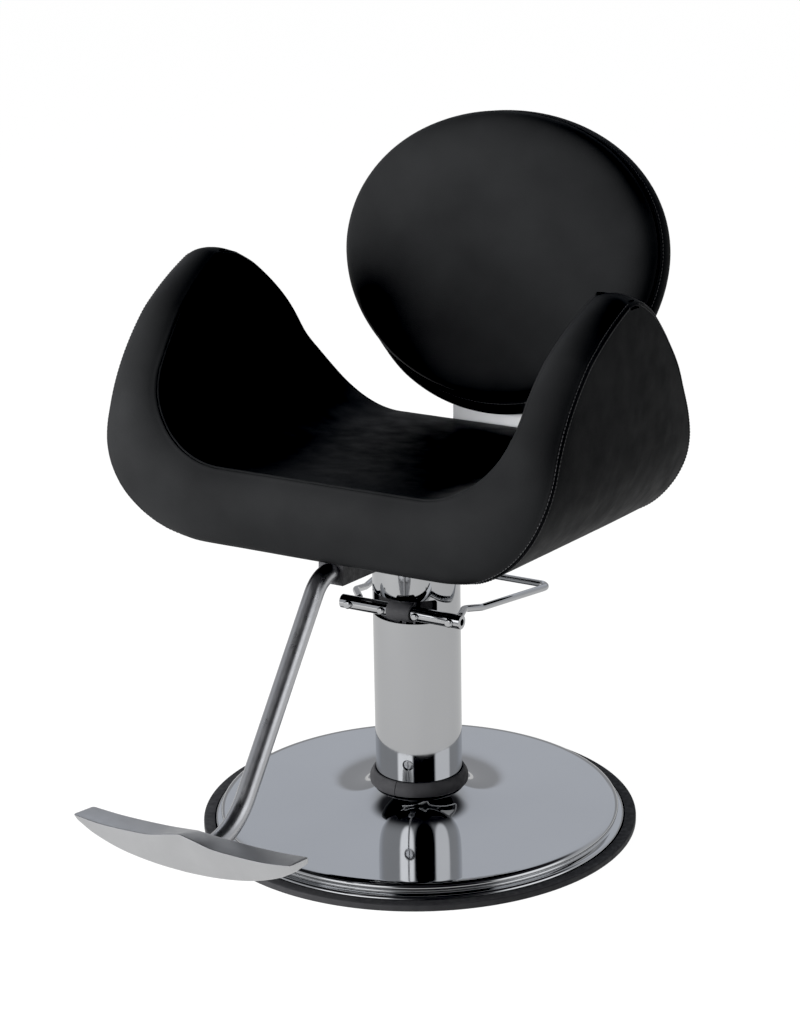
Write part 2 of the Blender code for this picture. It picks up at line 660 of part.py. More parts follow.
def band_loop(lining_back, shell_front):
    """Ring along the front edge, over the right arm, back along the rear and over the left."""
    side = HALF_ROWS[:-1]
    rows = [-s for s in side[::-1]] + [0.0] + side
    stations = [(s, 0.0) for s in rows] + [(1.0, 0.5)]
    stations += [(s, 1.0) for s in rows[::-1]] + [(-1.0, 0.5)]
    bm = bmesh.new()
    loops = []
    for s, t in stations:
        a, b = lining_back(abs(s)), shell_front(abs(s))
        fractions = [0.0, a / 2, a, b, (b + 1) / 2, 1.0]
        loop = [shell_point(s, t, f, 0.0) for f in fractions]
        loop += [shell_point(s, t, f, BAND) for f in fractions[::-1]]
        loops.append([bm.verts.new(point) for point in loop])
    for a, b in zip(loops, loops[1:] + loops[:1]):
        stitch(bm, a, b)
    return bm


def build_seat(seat):
    clear = BAND + 0.0005
    lining_back, shell_front = blend(0.74, 0.42), blend(0.889, 0.66)
    add("seat_lining", shell_layer(blend(0, 0), lining_back, clear), LEATHER, seat)
    add("outer_shell", shell_layer(shell_front, blend(1, 1), clear), LEATHER, seat)
    add("edge_band", band_loop(lining_back, shell_front), LEATHER, seat)

    board = block((-0.150, 0.034, -0.0953), (0.150, 0.450, -0.0832))
    add("seat_board", board, PLYWOOD, seat)
    for name, side in (("arm_board_left", -1), ("arm_board_right", 1)):
        rows = [side * s for s in (0.62, 0.70, 0.78, 0.86, 0.92)]
        panel = shell_layer(blend(0.45, 0.45), blend(0.63, 0.63), 0.030, rows=rows, columns=5)
        add(name, panel, PLYWOOD, seat)


# ---------------------------------------------------------------- under the seat


def seat_to_world(point):
    return Matrix.Translation(SEAT_ORIGIN) @ Matrix.Rotation(radians(-SEAT_TILT), 4, "X") @ point


def build_underseat(seat):
    top = SEAT_BOTTOM - GAP
    low = top - PLATE_T
    centre_y = (0.250 - low * sin(radians(SEAT_TILT))) / cos(radians(SEAT_TILT))
    plate = add("mount_plate", block((-0.105, centre_y - 0.100, low),
                                     (0.105, centre_y + 0.100, top), 0.0012), IRON, seat)
    spots = [(x, centre_y + y) for x in (-0.085, 0.085) for y in (-0.080, 0.080)]
    shell, board = bpy.data.objects["outer_shell"], bpy.data.objects["seat_board"]
    for i, (x, y) in enumerate(spots, start=1):
        fasten(f"mount_bolt_{i}", (x, y), low, (plate, shell, board), seat)

    # hub: upright, its top cut to the tilt of the plate
    hub = turned([(SPIGOT_R + GAP, 0.3940), (0.0340, 0.3940), (0.0340, 0.4300), (0, 0.4300),
                  (0, 0.4140), (SPIGOT_R + GAP, 0.4140)])
    underside = [seat_to_world(Vector((0, y, low - GAP))) for y in (centre_y - 0.1,
                                                                   centre_y + 0.1)]
    slope = (underside[1].z - underside[0].z) / (underside[1].y - underside[0].y)
    for vert in hub.verts:
        if vert.co.z > 0.4299:
            vert.co.z = underside[0].z + slope * (vert.co.y - underside[0].y)
    add("swivel_hub", hub, IRON)

    build_footrest(seat, low)
    build_bracket(seat, low)


def fasten(name, spot, low, pieces, parent, length=0.022):
    """Hexagon-headed bolt from below, through its pieces into the seat board."""
    x, y = spot
    hole = add(name + "_hole", bar((x, y, low - 0.010), (x, y, low + length + 0.001), 0.0036, 12),
               None, parent)
    for piece in pieces:
        cut(piece, hole)
    screw = stepped((x, y, low + length), (0, 0, -1),
                    [(0, 0.0030), (length + GAP, 0.0030), (length + GAP, 0.0065),
                     (length + 0.0045, 0.0065), (length + 0.0052, 0.0055)], 12)
    add(name, screw, STEEL, parent)


def build_footrest(seat, low):
    shell, board = bpy.data.objects["outer_shell"], bpy.data.objects["seat_board"]
    axis = SEAT_BOTTOM - TUBE_DROP
    front, rear = 0.040, 0.145
    socket = add("footrest_socket", block((-0.019, front, axis - 0.0165),
                                          (0.019, rear, SEAT_BOTTOM - GAP), 0.0012), IRON, seat)
    wings = block((-0.045, front + 0.010, SEAT_BOTTOM - GAP - 0.005),
                  (0.045, rear - 0.010, SEAT_BOTTOM - GAP))
    join(socket, add("socket_wings", wings, None, seat))
    cut(socket, add("socket_bore", bar((0, front - 0.010, axis), (0, rear - 0.004, axis),
                                       TUBE_R + GAP, 32), None, seat))
    for i, x in enumerate((-0.034, 0.034), start=1):
        fasten(f"socket_bolt_{i}", (x, 0.092), SEAT_BOTTOM - GAP - 0.005,
               (socket, shell, board), seat)

    start = seat_to_world(Vector((0, rear - 0.006, axis)))
    run = seat_to_world(Vector((0, 0.005, axis)))
    slant = Vector((0, -0.6293, -0.7771))
    top = meet(start, run - start, Vector((0, -0.2670, 0.4050)), slant)
    bottom = meet(top, slant, Vector((0, 0, TUBE_FOOT_Z)), Vector((0, 1, 0)))
    end = Vector((0, FOOT_REAR_Y + 0.0018, TUBE_FOOT_Z))
    path = rounded_path([start, top, bottom, end], [0.045, 0.090], step=radians(12))
    add("footrest_tube", swept(path, TUBE_R, 16, hollow=TUBE_R - TUBE_WALL), SATIN)
    build_footplate()


def meet(start, along, other, other_along):
    """Crossing of two lines in the middle plane of the chair."""
    turn = along.y * other_along.z - along.z * other_along.y
    offset = other - start
    reach = (offset.y * other_along.z - offset.z * other_along.y) / turn
    return start + along * reach


def foot_section(x):
    """Section of the footrest casting at x, as (y, z) points from the front top edge."""
    share = min(abs(x) / FOOT_HALF, 1.0)
    rise = between([(0.0, 0.209), (0.13, 0.2045), (0.28, 0.1992), (0.48, 0.1975),
                    (0.75, 0.1975), (1.0, 0.2015)], share)
    rear = between([(0.0, 0.1962), (0.3, 0.1935), (0.7, 0.1930), (1.0, 0.1955)], share)
    belly = between([(0.0, 0.1525), (0.3, 0.1545), (0.6, 0.1615), (0.85, 0.1745),
                     (1.0, 0.1885)], share)
    heel = between([(0.0, 0.1500), (0.12, 0.1502), (0.4, 0.1590), (0.75, 0.1720),
                    (1.0, 0.1880)], share)
    pull = 0.010 * max(0.0, share - 0.93) / 0.07
    front_y, rear_y = FOOT_FRONT_Y + pull, FOOT_REAR_Y - pull * 0.6
    return [(front_y, rise - 0.0025), (front_y + 0.002, rise), (rear_y - 0.002, rear),
            (rear_y, rear - 0.002), (rear_y, heel + 0.003), (rear_y - 0.003, heel),
            (front_y + 0.014, belly), (front_y + 0.007, belly + 0.003)]


def build_footplate():
    bm = bmesh.new()
    shares = [1.0, 0.97, 0.93, 0.84, 0.70, 0.55, 0.42, 0.32, 0.24, 0.16, 0.08]
    stations = [-s for s in shares] + [0.0] + shares[::-1]
    loops = [[bm.verts.new((s * FOOT_HALF, y, z)) for y, z in foot_section(s * FOOT_HALF)]
             for s in stations]
    for a, b in zip(loops, loops[1:]):
        stitch(bm, a, b)
    bm.faces.new(loops[0])
    bm.faces.new(loops[-1])
    add("footplate", bm, SATIN)


def build_bracket(seat, low):
    shell, board = bpy.data.objects["outer_shell"], bpy.data.objects["seat_board"]
    half = PLATE_T / 2
    start = seat_to_world(Vector((0, 0.385, SEAT_BOTTOM - GAP - half)))
    run = Vector((0, cos(radians(SEAT_TILT)), -sin(radians(SEAT_TILT))))
    lean = Vector((0, sin(radians(BACK_TILT)), cos(radians(BACK_TILT))))
    rearward = Vector((0, cos(radians(BACK_TILT)), -sin(radians(BACK_TILT))))
    upper = Vector(BACK_ORIGIN) + rearward * (BACK_BOARD_REAR + GAP + half)
    upright = Vector((0, BRACKET_Y, 0))
    corner = meet(start, run, upright, Vector((0, 0, 1)))
    bend = meet(upper, lean, upright, Vector((0, 0, 1)))
    path = rounded_path([start, corner, bend, upper], [0.014, 0.060], step=radians(12))
    front, rear = [], []
    for i, point in enumerate(path):
        along = (path[min(i + 1, len(path) - 1)] - path[max(i - 1, 0)]).normalized()
        side = Vector((0, -along.z, along.y)) * half
        front.append((point.y + side.y, point.z + side.z))
        rear.append((point.y - side.y, point.z - side.z))
    bracket = add("back_bracket", extruded(front + rear[::-1], BRACKET_HALF), GREY_PAINT)
    for i, x in enumerate((-0.045, 0.045), start=1):
        fasten(f"bracket_bolt_{i}", (x, 0.415), SEAT_BOTTOM - GAP - PLATE_T,
               (bracket, shell, board), seat)


# ---------------------------------------------------------------- backrest


def oval(scale, depth, drop, count):
    """Points of the backrest's outline, scaled, at a depth behind the seam.

    Drop pulls the lower half down, most at the bottom.
    """
    points = []
    for k in range(count):
        angle = 2 * pi * k / count
        width = BACK_HALF_WIDTH * cos(angle) * (1 + BACK_EGG * sin(angle))
        height = BACK_HALF_HEIGHT * sin(angle) * scale + drop * min(sin(angle), 0.0)
        points.append(Vector((width * scale, depth, height)))
    return points


def lofted(profile, count=40):
    """Closed body of ovals; profile lists (scale, depth, drop), from one pole to the other."""
    bm = bmesh.new()
    loops = [[bm.verts.new(point) for point in oval(*row, count)] for row in profile]
    for a, b in zip(loops, loops[1:]):
        stitch(bm, a, b)
    bm.faces.new(loops[0])
    bm.faces.new(loops[-1])
    return bm


def build_back(back):
    crown = [(0.35, -0.0385, 0), (0.65, -0.0360, 0), (0.84, -0.0320, 0), (0.925, -0.0265, 0),
             (0.975, -0.0165, 0), (1.0, -0.0003, 0)]
    add("back_pad", lofted(crown + [(0.935, -0.0003, 0), (0.935, BACK_BOARD_FRONT - GAP, 0)]),
        LEATHER, back)
    board = add("back_board", lofted([(0.90, BACK_BOARD_FRONT, 0), (0.90, BACK_BOARD_REAR, 0)]),
                PLYWOOD, back)
    cavity = [(0.945, BACK_BOARD_REAR + 0.0005, 0), (0.945, 0.0003, 0), (1.0, 0.0003, 0)]
    outside = [(1.007, 0.0070, 0.35 * BACK_DROP), (1.014, 0.0160, 0.9 * BACK_DROP),
               (1.010, 0.0290, BACK_DROP), (0.970, 0.0395, 0.9 * BACK_DROP),
               (0.88, 0.0480, 0.7 * BACK_DROP), (0.65, 0.0545, 0.5 * BACK_DROP),
               (0.35, 0.0570, 0.3 * BACK_DROP)]
    shell = add("back_shell", lofted(cavity + outside), LEATHER, back)
    channel = block((-BRACKET_HALF - 0.001, BACK_BOARD_REAR - 0.004, -0.260),
                    (BRACKET_HALF + 0.001, BACK_BOARD_REAR + PLATE_T + 0.0052, 0.003))
    cut(shell, add("bracket_channel", channel, None, back))

    bracket = bpy.data.objects["back_bracket"]
    for i, (x, z) in enumerate(((-0.045, -0.030), (0.045, -0.030), (-0.045, -0.110),
                                (0.045, -0.110)), start=1):
        hole = add(f"back_hole_{i}", bar((x, BACK_BOARD_FRONT + 0.002, z), (x, 0.060, z),
                                         0.0034, 12), None, back)
        cut(bracket, hole)
        cut(board, hole)
        depth = BACK_BOARD_REAR + GAP + PLATE_T
        screw = stepped((x, BACK_BOARD_FRONT + 0.0025, z), (0, 1, 0),
                        [(0, 0.0029), (depth + GAP - BACK_BOARD_FRONT - 0.0025, 0.0029),
                         (depth + GAP - BACK_BOARD_FRONT - 0.0025, 0.0058),
                         (depth + 0.0033 - BACK_BOARD_FRONT - 0.0025, 0.0052)], 12)
        add(f"back_bolt_{i}", screw, STEEL, back)


def main():
    clear_scene()
    seat = frame("seat_frame", SEAT_ORIGIN, SEAT_TILT)
    back = frame("back_frame", BACK_ORIGIN, BACK_TILT)
    build_base()
    build_column()
    build_hydraulics()
    build_lever()
    build_seat(seat)
    build_underseat(seat)
    build_back(back)
    bpy.context.view_layer.update()


main()
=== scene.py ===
"""Looks of the hydraulic styling chair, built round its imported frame. Metres, +Z up."""

import json
from math import ceil, cos, degrees, exp, pi, radians, sin, sqrt, tan

import bmesh
import bpy
from mathutils import Matrix, Vector, kdtree, noise
from mathutils.bvhtree import BVHTree


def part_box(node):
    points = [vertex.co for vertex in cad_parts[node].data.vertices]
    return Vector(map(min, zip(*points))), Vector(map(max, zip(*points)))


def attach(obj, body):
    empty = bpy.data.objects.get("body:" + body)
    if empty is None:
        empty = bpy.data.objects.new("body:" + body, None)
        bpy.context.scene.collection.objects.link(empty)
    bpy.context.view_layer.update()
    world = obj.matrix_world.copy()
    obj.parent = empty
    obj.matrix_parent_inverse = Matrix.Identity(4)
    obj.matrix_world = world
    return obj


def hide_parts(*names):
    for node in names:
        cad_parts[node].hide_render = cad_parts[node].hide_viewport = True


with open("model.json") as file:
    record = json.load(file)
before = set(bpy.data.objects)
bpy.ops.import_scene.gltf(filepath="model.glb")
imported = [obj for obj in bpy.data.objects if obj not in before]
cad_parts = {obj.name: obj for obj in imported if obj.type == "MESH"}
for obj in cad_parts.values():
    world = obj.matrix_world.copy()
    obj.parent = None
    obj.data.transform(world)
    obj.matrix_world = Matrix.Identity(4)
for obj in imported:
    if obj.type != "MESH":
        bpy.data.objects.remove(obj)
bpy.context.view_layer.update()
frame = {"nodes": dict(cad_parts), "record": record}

# ---------------------------------------------------------------- dimensions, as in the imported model

# seat, in its own frame: X across, Y rearwards, Z up from the front seam
SEAT_ORIGIN = (0.0, -0.250, 0.555)
SEAT_TILT = 4.5              # degrees, rear down
SEAT_BOTTOM = -0.108
SEAT_FALL = 0.008            # extra fall of the cushion towards the rear
INNER_FLAT = 0.145           # half width of the flat of the sitting surface
INNER_CORNER = 0.120         # corner radius from sitting surface to arm
OUTER_FLAT = 0.173
OUTER_CORNER = 0.155
INNER_TOP_X = 0.279
OUTER_TOP_X = 0.330
ARM_TOP = 0.2403
ARM_TOP_DEPTH = 0.2118

# side view of the arms: (height above the front seam, distance behind it)
FRONT_EDGE = [(-0.108, 0.034), (-0.098, 0.014), (-0.080, 0.005), (-0.045, -0.002), (0.0, 0.0),
              (0.046, 0.0124), (0.0874, 0.0272), (0.1295, 0.052), (0.1725, 0.0887),
              (0.1948, 0.1171), (0.2177, 0.1534), (0.2345, 0.186), (0.2385, 0.1957),
              (0.2398, 0.2030), (ARM_TOP, ARM_TOP_DEPTH)]
REAR_EDGE = [(-0.108, 0.455), (-0.098, 0.468), (-0.084, 0.4725), (-0.008, 0.4725),
             (0.0522, 0.4473), (0.1039, 0.4021), (0.164, 0.3502), (0.2132, 0.2872),
             (0.2345, 0.245), (0.2385, 0.2305), (0.2398, 0.2218), (ARM_TOP, ARM_TOP_DEPTH)]

# how strongly the rear corners come in, at heights above the front seam
REAR_CORNER = [(-0.108, 0.0), (-0.060, 0.7), (0.0, 1.0), (0.045, 0.95), (0.120, 0.42),
               (0.170, 0.36), (ARM_TOP, 0.0)]
REAR_NARROW = 0.012
REAR_FORWARD = 0.020
OUTER_DIP = 0.006            # outer edge of an arm's top, below its inner edge

# backrest, in its own frame: X across, Y rearwards, Z up in the plane of the front seam
BACK_ORIGIN = (0.0, 0.244, 0.747)
BACK_TILT = 15.2
BACK_HALF_WIDTH = 0.241
BACK_HALF_HEIGHT = 0.198
BACK_EGG = 0.033             # wider above the middle than below it
BACK_DROP = 0.019            # the rear cover hangs lower than the seam

# base cover: a slight slope that flares up to the column
COVER_NECK_R = 0.0625
COVER_RIM_R = 0.266
COVER_RIM_Z = 0.0265
COVER_SLOPE = 0.0227
FLARE_H = 0.0229
FLARE_REACH = 0.026

# column and lever
SLEEVE_R = 0.0597
SLEEVE_WALL = 0.0020
SLOT_HALF_ANGLE = 57         # degrees each side of the front
SLOT_LOW = 0.305
SLOT_HIGH = 0.338
SLOT_CORNER = 0.0045
SEAM_ANGLE = 15              # degrees from the front towards +X
SLEEVE_SCREW_Z = 0.100
LEVER_X = 0.017
BAR_R = 0.0095
BAR_Y = -0.0705
BAR_Z = 0.328
BAR_HALF = 0.0918
LOOP_BOLT_X = 0.0775
LOOP_WAIST_X = 0.084
LOOP_KNEE = (0.091, 0.018, 0.3175)
ROD_R = 0.0048
COLLAR_R = 0.0127
COLLAR_BORE_R = 0.0098
COLLAR_OPENING = 69          # degrees each side of the rear, where the collar is open

# footrest
TUBE_R = 0.0127
FOOT_HALF = 0.157
FOOT_FRONT_Y = -0.581
FOOT_REAR_Y = -0.5375
TUBE_FOOT_Z = 0.165

# back bracket
BRACKET_THICK = 0.006

# upholstery
TUCK = 0.010                 # thickness of the padded skin
BAND_ROLL = 0.17             # height of the band's padding, as a share of its width
BAND_FULL = 0.070            # width from which the padding is as high as it gets
CREASE = 0.0016              # depth of a seam
CREASE_WIDTH = 0.0024        # how far from the seam the skin starts to fall into it
STITCH_PITCH = 0.0052
STITCH_LENGTH = 0.0038
STITCH_R = 0.00042
STITCH_SET = 0.0034          # distance of a stitch row from its seam

# studio
FLOOR_SEEN = 0.98            # glow of the floor as the camera sees it
FLOOR_GLOW = 0.60            # and as it lights the chair
BLACK_POINT = 0.010

# ---------------------------------------------------------------- materials


def new_node(tree, kind, **inputs):
    made = tree.nodes.new(kind)
    for key, value in inputs.items():
        made.inputs[key].default_value = value
    return made


class Surface:
    """A Principled material with helpers for its procedural detail."""

    def __init__(self, name, colour, roughness, metallic=0.0, specular=0.5):
        self.material = bpy.data.materials.new(name)
        self.material.use_nodes = True
        self.tree = self.material.node_tree
        self.shader = self.tree.nodes["Principled BSDF"]
        self.shader.inputs["Base Color"].default_value = (*colour, 1.0)
        self.shader.inputs["Roughness"].default_value = roughness
        self.shader.inputs["Metallic"].default_value = metallic
        self.shader.inputs["Specular IOR Level"].default_value = specular
        self.place = self.tree.nodes.new("ShaderNodeTexCoord").outputs["Object"]
        self.height = None

    def node(self, kind, **inputs):
        return new_node(self.tree, kind, **inputs)

    def link(self, source, target):
        self.tree.links.new(source, target)

    def noise(self, scale, detail=3.0, stretch=None):
        texture = self.node("ShaderNodeTexNoise", Scale=scale, Detail=detail)
        place = self.place
        if stretch:
            mapping = self.node("ShaderNodeMapping", Scale=stretch)
            self.link(place, mapping.inputs["Vector"])
            place = mapping.outputs["Vector"]
        self.link(place, texture.inputs["Vector"])
        return texture.outputs["Fac"]

    def cells(self, scale):
        texture = self.node("ShaderNodeTexVoronoi", Scale=scale)
        self.link(self.place, texture.inputs["Vector"])
        return texture.outputs["Distance"]

    def spread(self, value, low, high, at=(0.3, 0.7)):
        """Map a texture's value to a range."""
        ramp = self.node("ShaderNodeMapRange")
        ramp.inputs["From Min"].default_value, ramp.inputs["From Max"].default_value = at
        ramp.inputs["To Min"].default_value, ramp.inputs["To Max"].default_value = low, high
        self.link(value, ramp.inputs["Value"])
        return ramp.outputs["Result"]

    def vary_roughness(self, value, low, high):
        self.link(self.spread(value, low, high), self.shader.inputs["Roughness"])

    def vary_colour(self, value, first, second):
        mix = self.node("ShaderNodeMix")
        mix.data_type = "RGBA"
        mix.inputs[6].default_value = (*first, 1.0)
        mix.inputs[7].default_value = (*second, 1.0)
        self.link(self.spread(value, 0.0, 1.0), mix.inputs["Factor"])
        self.link(mix.outputs[2], self.shader.inputs["Base Color"])

    def bump(self, value, strength, depth):
        bump = self.node("ShaderNodeBump", Strength=strength, Distance=depth)
        self.link(value, bump.inputs["Height"])
        if self.height:
            self.link(self.height, bump.inputs["Normal"])
        self.height = bump.outputs["Normal"]
        self.link(self.height, self.shader.inputs["Normal"])


def make_leather():
    surface = Surface("black_leather", (0.007, 0.007, 0.0073), 0.46, specular=0.03)
    surface.vary_colour(surface.noise(6.0, 4.0), (0.0056, 0.0057, 0.0059),
                        (0.0084, 0.0086, 0.0089))
    surface.vary_roughness(surface.noise(35.0, 5.0), 0.40, 0.50)
    surface.bump(surface.noise(14.0, 3.0), 0.08, 0.0015)
    surface.bump(surface.cells(620.0), 0.20, 0.00035)
    surface.bump(surface.noise(1900.0, 2.0), 0.12, 0.00015)
    return surface.material


def make_chrome():
    surface = Surface("chrome", (0.55, 0.556, 0.565), 0.05, metallic=1.0)
    surface.vary_colour(surface.noise(5.0), (0.545, 0.552, 0.562), (0.565, 0.572, 0.582))
    surface.vary_roughness(surface.noise(60.0, 6.0), 0.035, 0.065)
    surface.bump(surface.noise(22.0, 2.0), 0.02, 0.0010)
    return surface.material


def make_satin(name, colour, roughness, grain=0.10):
    surface = Surface(name, colour, roughness, metallic=1.0)
    darker = tuple(c * 0.93 for c in colour)
    surface.vary_colour(surface.noise(18.0, 4.0), darker, colour)
    surface.vary_roughness(surface.noise(90.0, 5.0), roughness - 0.04, roughness + 0.05)
    surface.bump(surface.noise(40.0, 3.0), 0.05, 0.0010)
    surface.bump(surface.noise(2400.0, 2.0), grain, 0.00012)
    return surface.material


def make_turned_steel(name, colour=(0.50, 0.51, 0.53), roughness=0.30):
    surface = Surface(name, colour, roughness, metallic=1.0)
    fine = surface.noise(300.0, 3.0, stretch=(0.05, 0.05, 1.0))
    surface.vary_roughness(fine, roughness - 0.07, roughness + 0.08)
    surface.vary_colour(surface.noise(40.0, 4.0), tuple(c * 0.85 for c in colour), colour)
    surface.bump(fine, 0.12, 0.0003)
    return surface.material


def make_coated(name, dark, light, rough, patches, wear, grain, specular=0.5):
    """Matt surface; grain is (scale, detail, bump strength, bump depth)."""
    surface = Surface(name, light, sum(rough) / 2, specular=specular)
    surface.vary_colour(surface.noise(*patches), dark, light)
    surface.vary_roughness(surface.noise(*wear), *rough)
    surface.bump(surface.noise(*grain[:2]), *grain[2:])
    return surface.material


def make_rubber(name, light):
    return make_coated(name, tuple(c * 0.75 for c in light), light, (0.46, 0.66),
                       (55.0, 5.0), (120.0, 4.0), (700.0, 4.0, 0.18, 0.0004), 0.35)


def make_plywood():
    surface = Surface("plywood", (0.52, 0.38, 0.23), 0.65)
    grain = surface.noise(28.0, 8.0, stretch=(1.0, 12.0, 12.0))
    surface.vary_colour(grain, (0.40, 0.27, 0.15), (0.60, 0.45, 0.28))
    surface.vary_roughness(grain, 0.55, 0.75)
    surface.bump(grain, 0.25, 0.0005)
    return surface.material


def make_thread():
    surface = Surface("thread", (0.020, 0.020, 0.021), 0.45, specular=0.5)
    surface.vary_colour(surface.noise(300.0), (0.016, 0.016, 0.017), (0.028, 0.028, 0.029))
    surface.bump(surface.noise(4200.0, 2.0), 0.3, 0.0002)
    return surface.material


LEATHER = make_leather()
CHROME = make_chrome()
ALUMINIUM = make_satin("cast_aluminium", (0.64, 0.645, 0.655), 0.34, grain=0.06)
TUBE_STEEL = make_satin("satin_tube", (0.58, 0.585, 0.60), 0.30, grain=0.22)
STEEL = make_turned_steel("zinc_steel")
RUBBER = make_rubber("black_rubber", (0.015, 0.015, 0.016))
PLASTIC = make_rubber("black_plastic", (0.010, 0.010, 0.011))
CASTING = make_coated("black_casting", (0.014, 0.014, 0.015), (0.032, 0.032, 0.034), (0.42, 0.62),
                      (45.0, 5.0), (150.0, 4.0), (420.0, 6.0, 0.45, 0.0008), 0.4)
GREY_PAINT = make_coated("grey_paint", (0.52, 0.525, 0.54), (0.57, 0.575, 0.59), (0.36, 0.50),
                         (12.0, 4.0), (200.0, 4.0), (900.0, 3.0, 0.12, 0.0003))
PLYWOOD = make_plywood()
BRONZE = make_satin("bearing_bronze", (0.52, 0.34, 0.16), 0.34)
THREAD = make_thread()

BY_SLOT = {"rubber": RUBBER, "chrome": CHROME, "satin_aluminium": ALUMINIUM, "steel": STEEL,
           "cast_iron": CASTING, "bronze": BRONZE, "black_leather": LEATHER, "plywood": PLYWOOD,
           "grey_steel": GREY_PAINT, "black_plastic": PLASTIC}


def finish_frame():
    """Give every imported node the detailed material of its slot."""
    for part in frame["record"]["subparts"]:
        node = frame["nodes"][part["node"]]
        node.data.materials.clear()
        node.data.materials.append(BY_SLOT[part["material_slot"]])


# ---------------------------------------------------------------- mesh tools


def place_mesh(name, bm):
    """Object made from a mesh under construction, linked to the scene."""
    mesh = bpy.data.meshes.new(name)
    bm.to_mesh(mesh)
    bm.free()
    made = bpy.data.objects.new(name, mesh)
    bpy.context.scene.collection.objects.link(made)
    return made


def add(name, bm, surface, body, stands_for=(), sharp=38):
    """Visible piece of the chair, smooth but for edges sharper than an angle in degrees."""
    made = place_mesh(name, bm)
    made.data.shade_smooth()
    made.data.set_sharp_from_angle(angle=radians(sharp))
    made.data.materials.append(surface)
    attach(made, body)
    if stands_for:
        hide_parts(*stands_for)
    return made


def outward(bm):
    bmesh.ops.recalc_face_normals(bm, faces=bm.faces)
    return bm


def stitch(bm, loop, other, closed=True):
    count = len(loop)
    for k in range(count if closed else count - 1):
        after = (k + 1) % count
        corners = [loop[k], loop[after], other[after], other[k]]
        unique = [c for i, c in enumerate(corners) if c not in corners[:i]]
        if len(unique) > 2:
            bm.faces.new(unique)


def join(bm, loops, capped=True, closed=True):
    """Faces between loops that follow each other, and over the first and last."""
    for a, b in zip(loops, loops[1:]):
        stitch(bm, a, b, closed)
    if capped:
        bm.faces.new(loops[0])
        bm.faces.new(loops[-1])
    return bm


def around(radius, angle, height):
    """Point on a circle round the column; 0 degrees is the front and 90 is +X."""
    return Vector((radius * sin(radians(angle)), -radius * cos(radians(angle)), height))


def lathe(outline, steps=128, first=0.0, sweep=360.0):
    """Turned solid from a closed outline of (radius, height)."""
    bm = bmesh.new()
    full = sweep == 360.0
    loops, axis = [], {}
    for i in range(steps if full else steps + 1):
        angle = first + sweep * i / steps
        loop = []
        for k, (r, z) in enumerate(outline):
            if r < 1e-6:
                axis[k] = axis.get(k) or bm.verts.new((0, 0, z))
                loop.append(axis[k])
            else:
                loop.append(bm.verts.new(around(r, angle, z)))
        loops.append(loop)
    for a, b in zip(loops, loops[1:] + (loops[:1] if full else [])):
        stitch(bm, a, b)
    if not full:
        bm.faces.new(loops[0])
        bm.faces.new(loops[-1])
    return outward(bm)


def turn_to(bm, place, direction):
    """Move a turned solid so that its axis starts at place and points in direction."""
    turn = Vector(direction).to_track_quat("Z", "Y").to_matrix().to_4x4()
    bmesh.ops.transform(bm, matrix=Matrix.Translation(place) @ turn, verts=bm.verts)
    return bm


def smooth_line(points, parts=4):
    """Rounded line through the points (centripetal Catmull-Rom)."""
    points = [Vector(p) for p in points]
    line = []
    for i in range(len(points) - 1):
        p1, p2 = points[i], points[i + 1]
        p0 = points[i - 1] if i else p1 * 2 - p2
        p3 = points[i + 2] if i + 2 < len(points) else p2 * 2 - p1
        t1 = sqrt((p1 - p0).length)
        t2 = t1 + sqrt((p2 - p1).length)
        t3 = t2 + sqrt((p3 - p2).length)
        for k in range(parts):
            t = t1 + (t2 - t1) * k / parts
            a1 = p0.lerp(p1, t / t1)
            a2 = p1.lerp(p2, (t - t1) / (t2 - t1))
            a3 = p2.lerp(p3, (t - t2) / (t3 - t2))
            b1 = a1.lerp(a2, t / t2)
            b2 = a2.lerp(a3, (t - t1) / (t3 - t1))
            line.append(b1.lerp(b2, (t - t1) / (t2 - t1)))
    line.append(points[-1])
    return line


def rounded(points, radius, parts=4):
    """Closed outline with its corners rounded by one radius, or by one for each corner."""
    points = [Vector(p) for p in points]
    radii = radius if isinstance(radius, (list, tuple)) else [radius] * len(points)
    line = []
    for i, corner in enumerate(points):
        before = points[i - 1] - corner
        after = points[(i + 1) % len(points)] - corner
        reach = min(radii[i], before.length * 0.48, after.length * 0.48)
        if reach < 1e-6:
            line.append(corner)
            continue
        start = corner + before.normalized() * reach
        end = corner + after.normalized() * reach
        for k in range(parts + 1):
            t = k / parts
            line.append(start * (1 - t) ** 2 + corner * 2 * t * (1 - t) + end * t ** 2)
    return line


def inside_of(points, depth):
    """The same open outline, moved to its right-hand side by depth."""
    moved = []
    for i, point in enumerate(points):
        along = (points[min(i + 1, len(points) - 1)] - points[max(i - 1, 0)]).normalized()
        moved.append(Vector((point.x + along.y * depth, point.y - along.x * depth)))
    return moved


def bent_path(corners, radii, step=radians(6)):
    """Path of straight runs joined by arcs; one radius for each inner corner."""
    corners = [Vector(c) for c in corners]
    path = [corners[0]]
    for i, radius in enumerate(radii, start=1):
        before = (corners[i - 1] - corners[i]).normalized()
        after = (corners[i + 1] - corners[i]).normalized()
        half = before.angle(after) / 2
        centre = corners[i] + (before + after).normalized() * radius / sin(half)
        start = corners[i] + before * radius / tan(half) - centre
        end = corners[i] + after * radius / tan(half) - centre
        count = max(3, ceil(start.angle(end) / step))
        path += [centre + start.slerp(end, k / count) * radius for k in range(count + 1)]
    path.append(corners[-1])
    return path


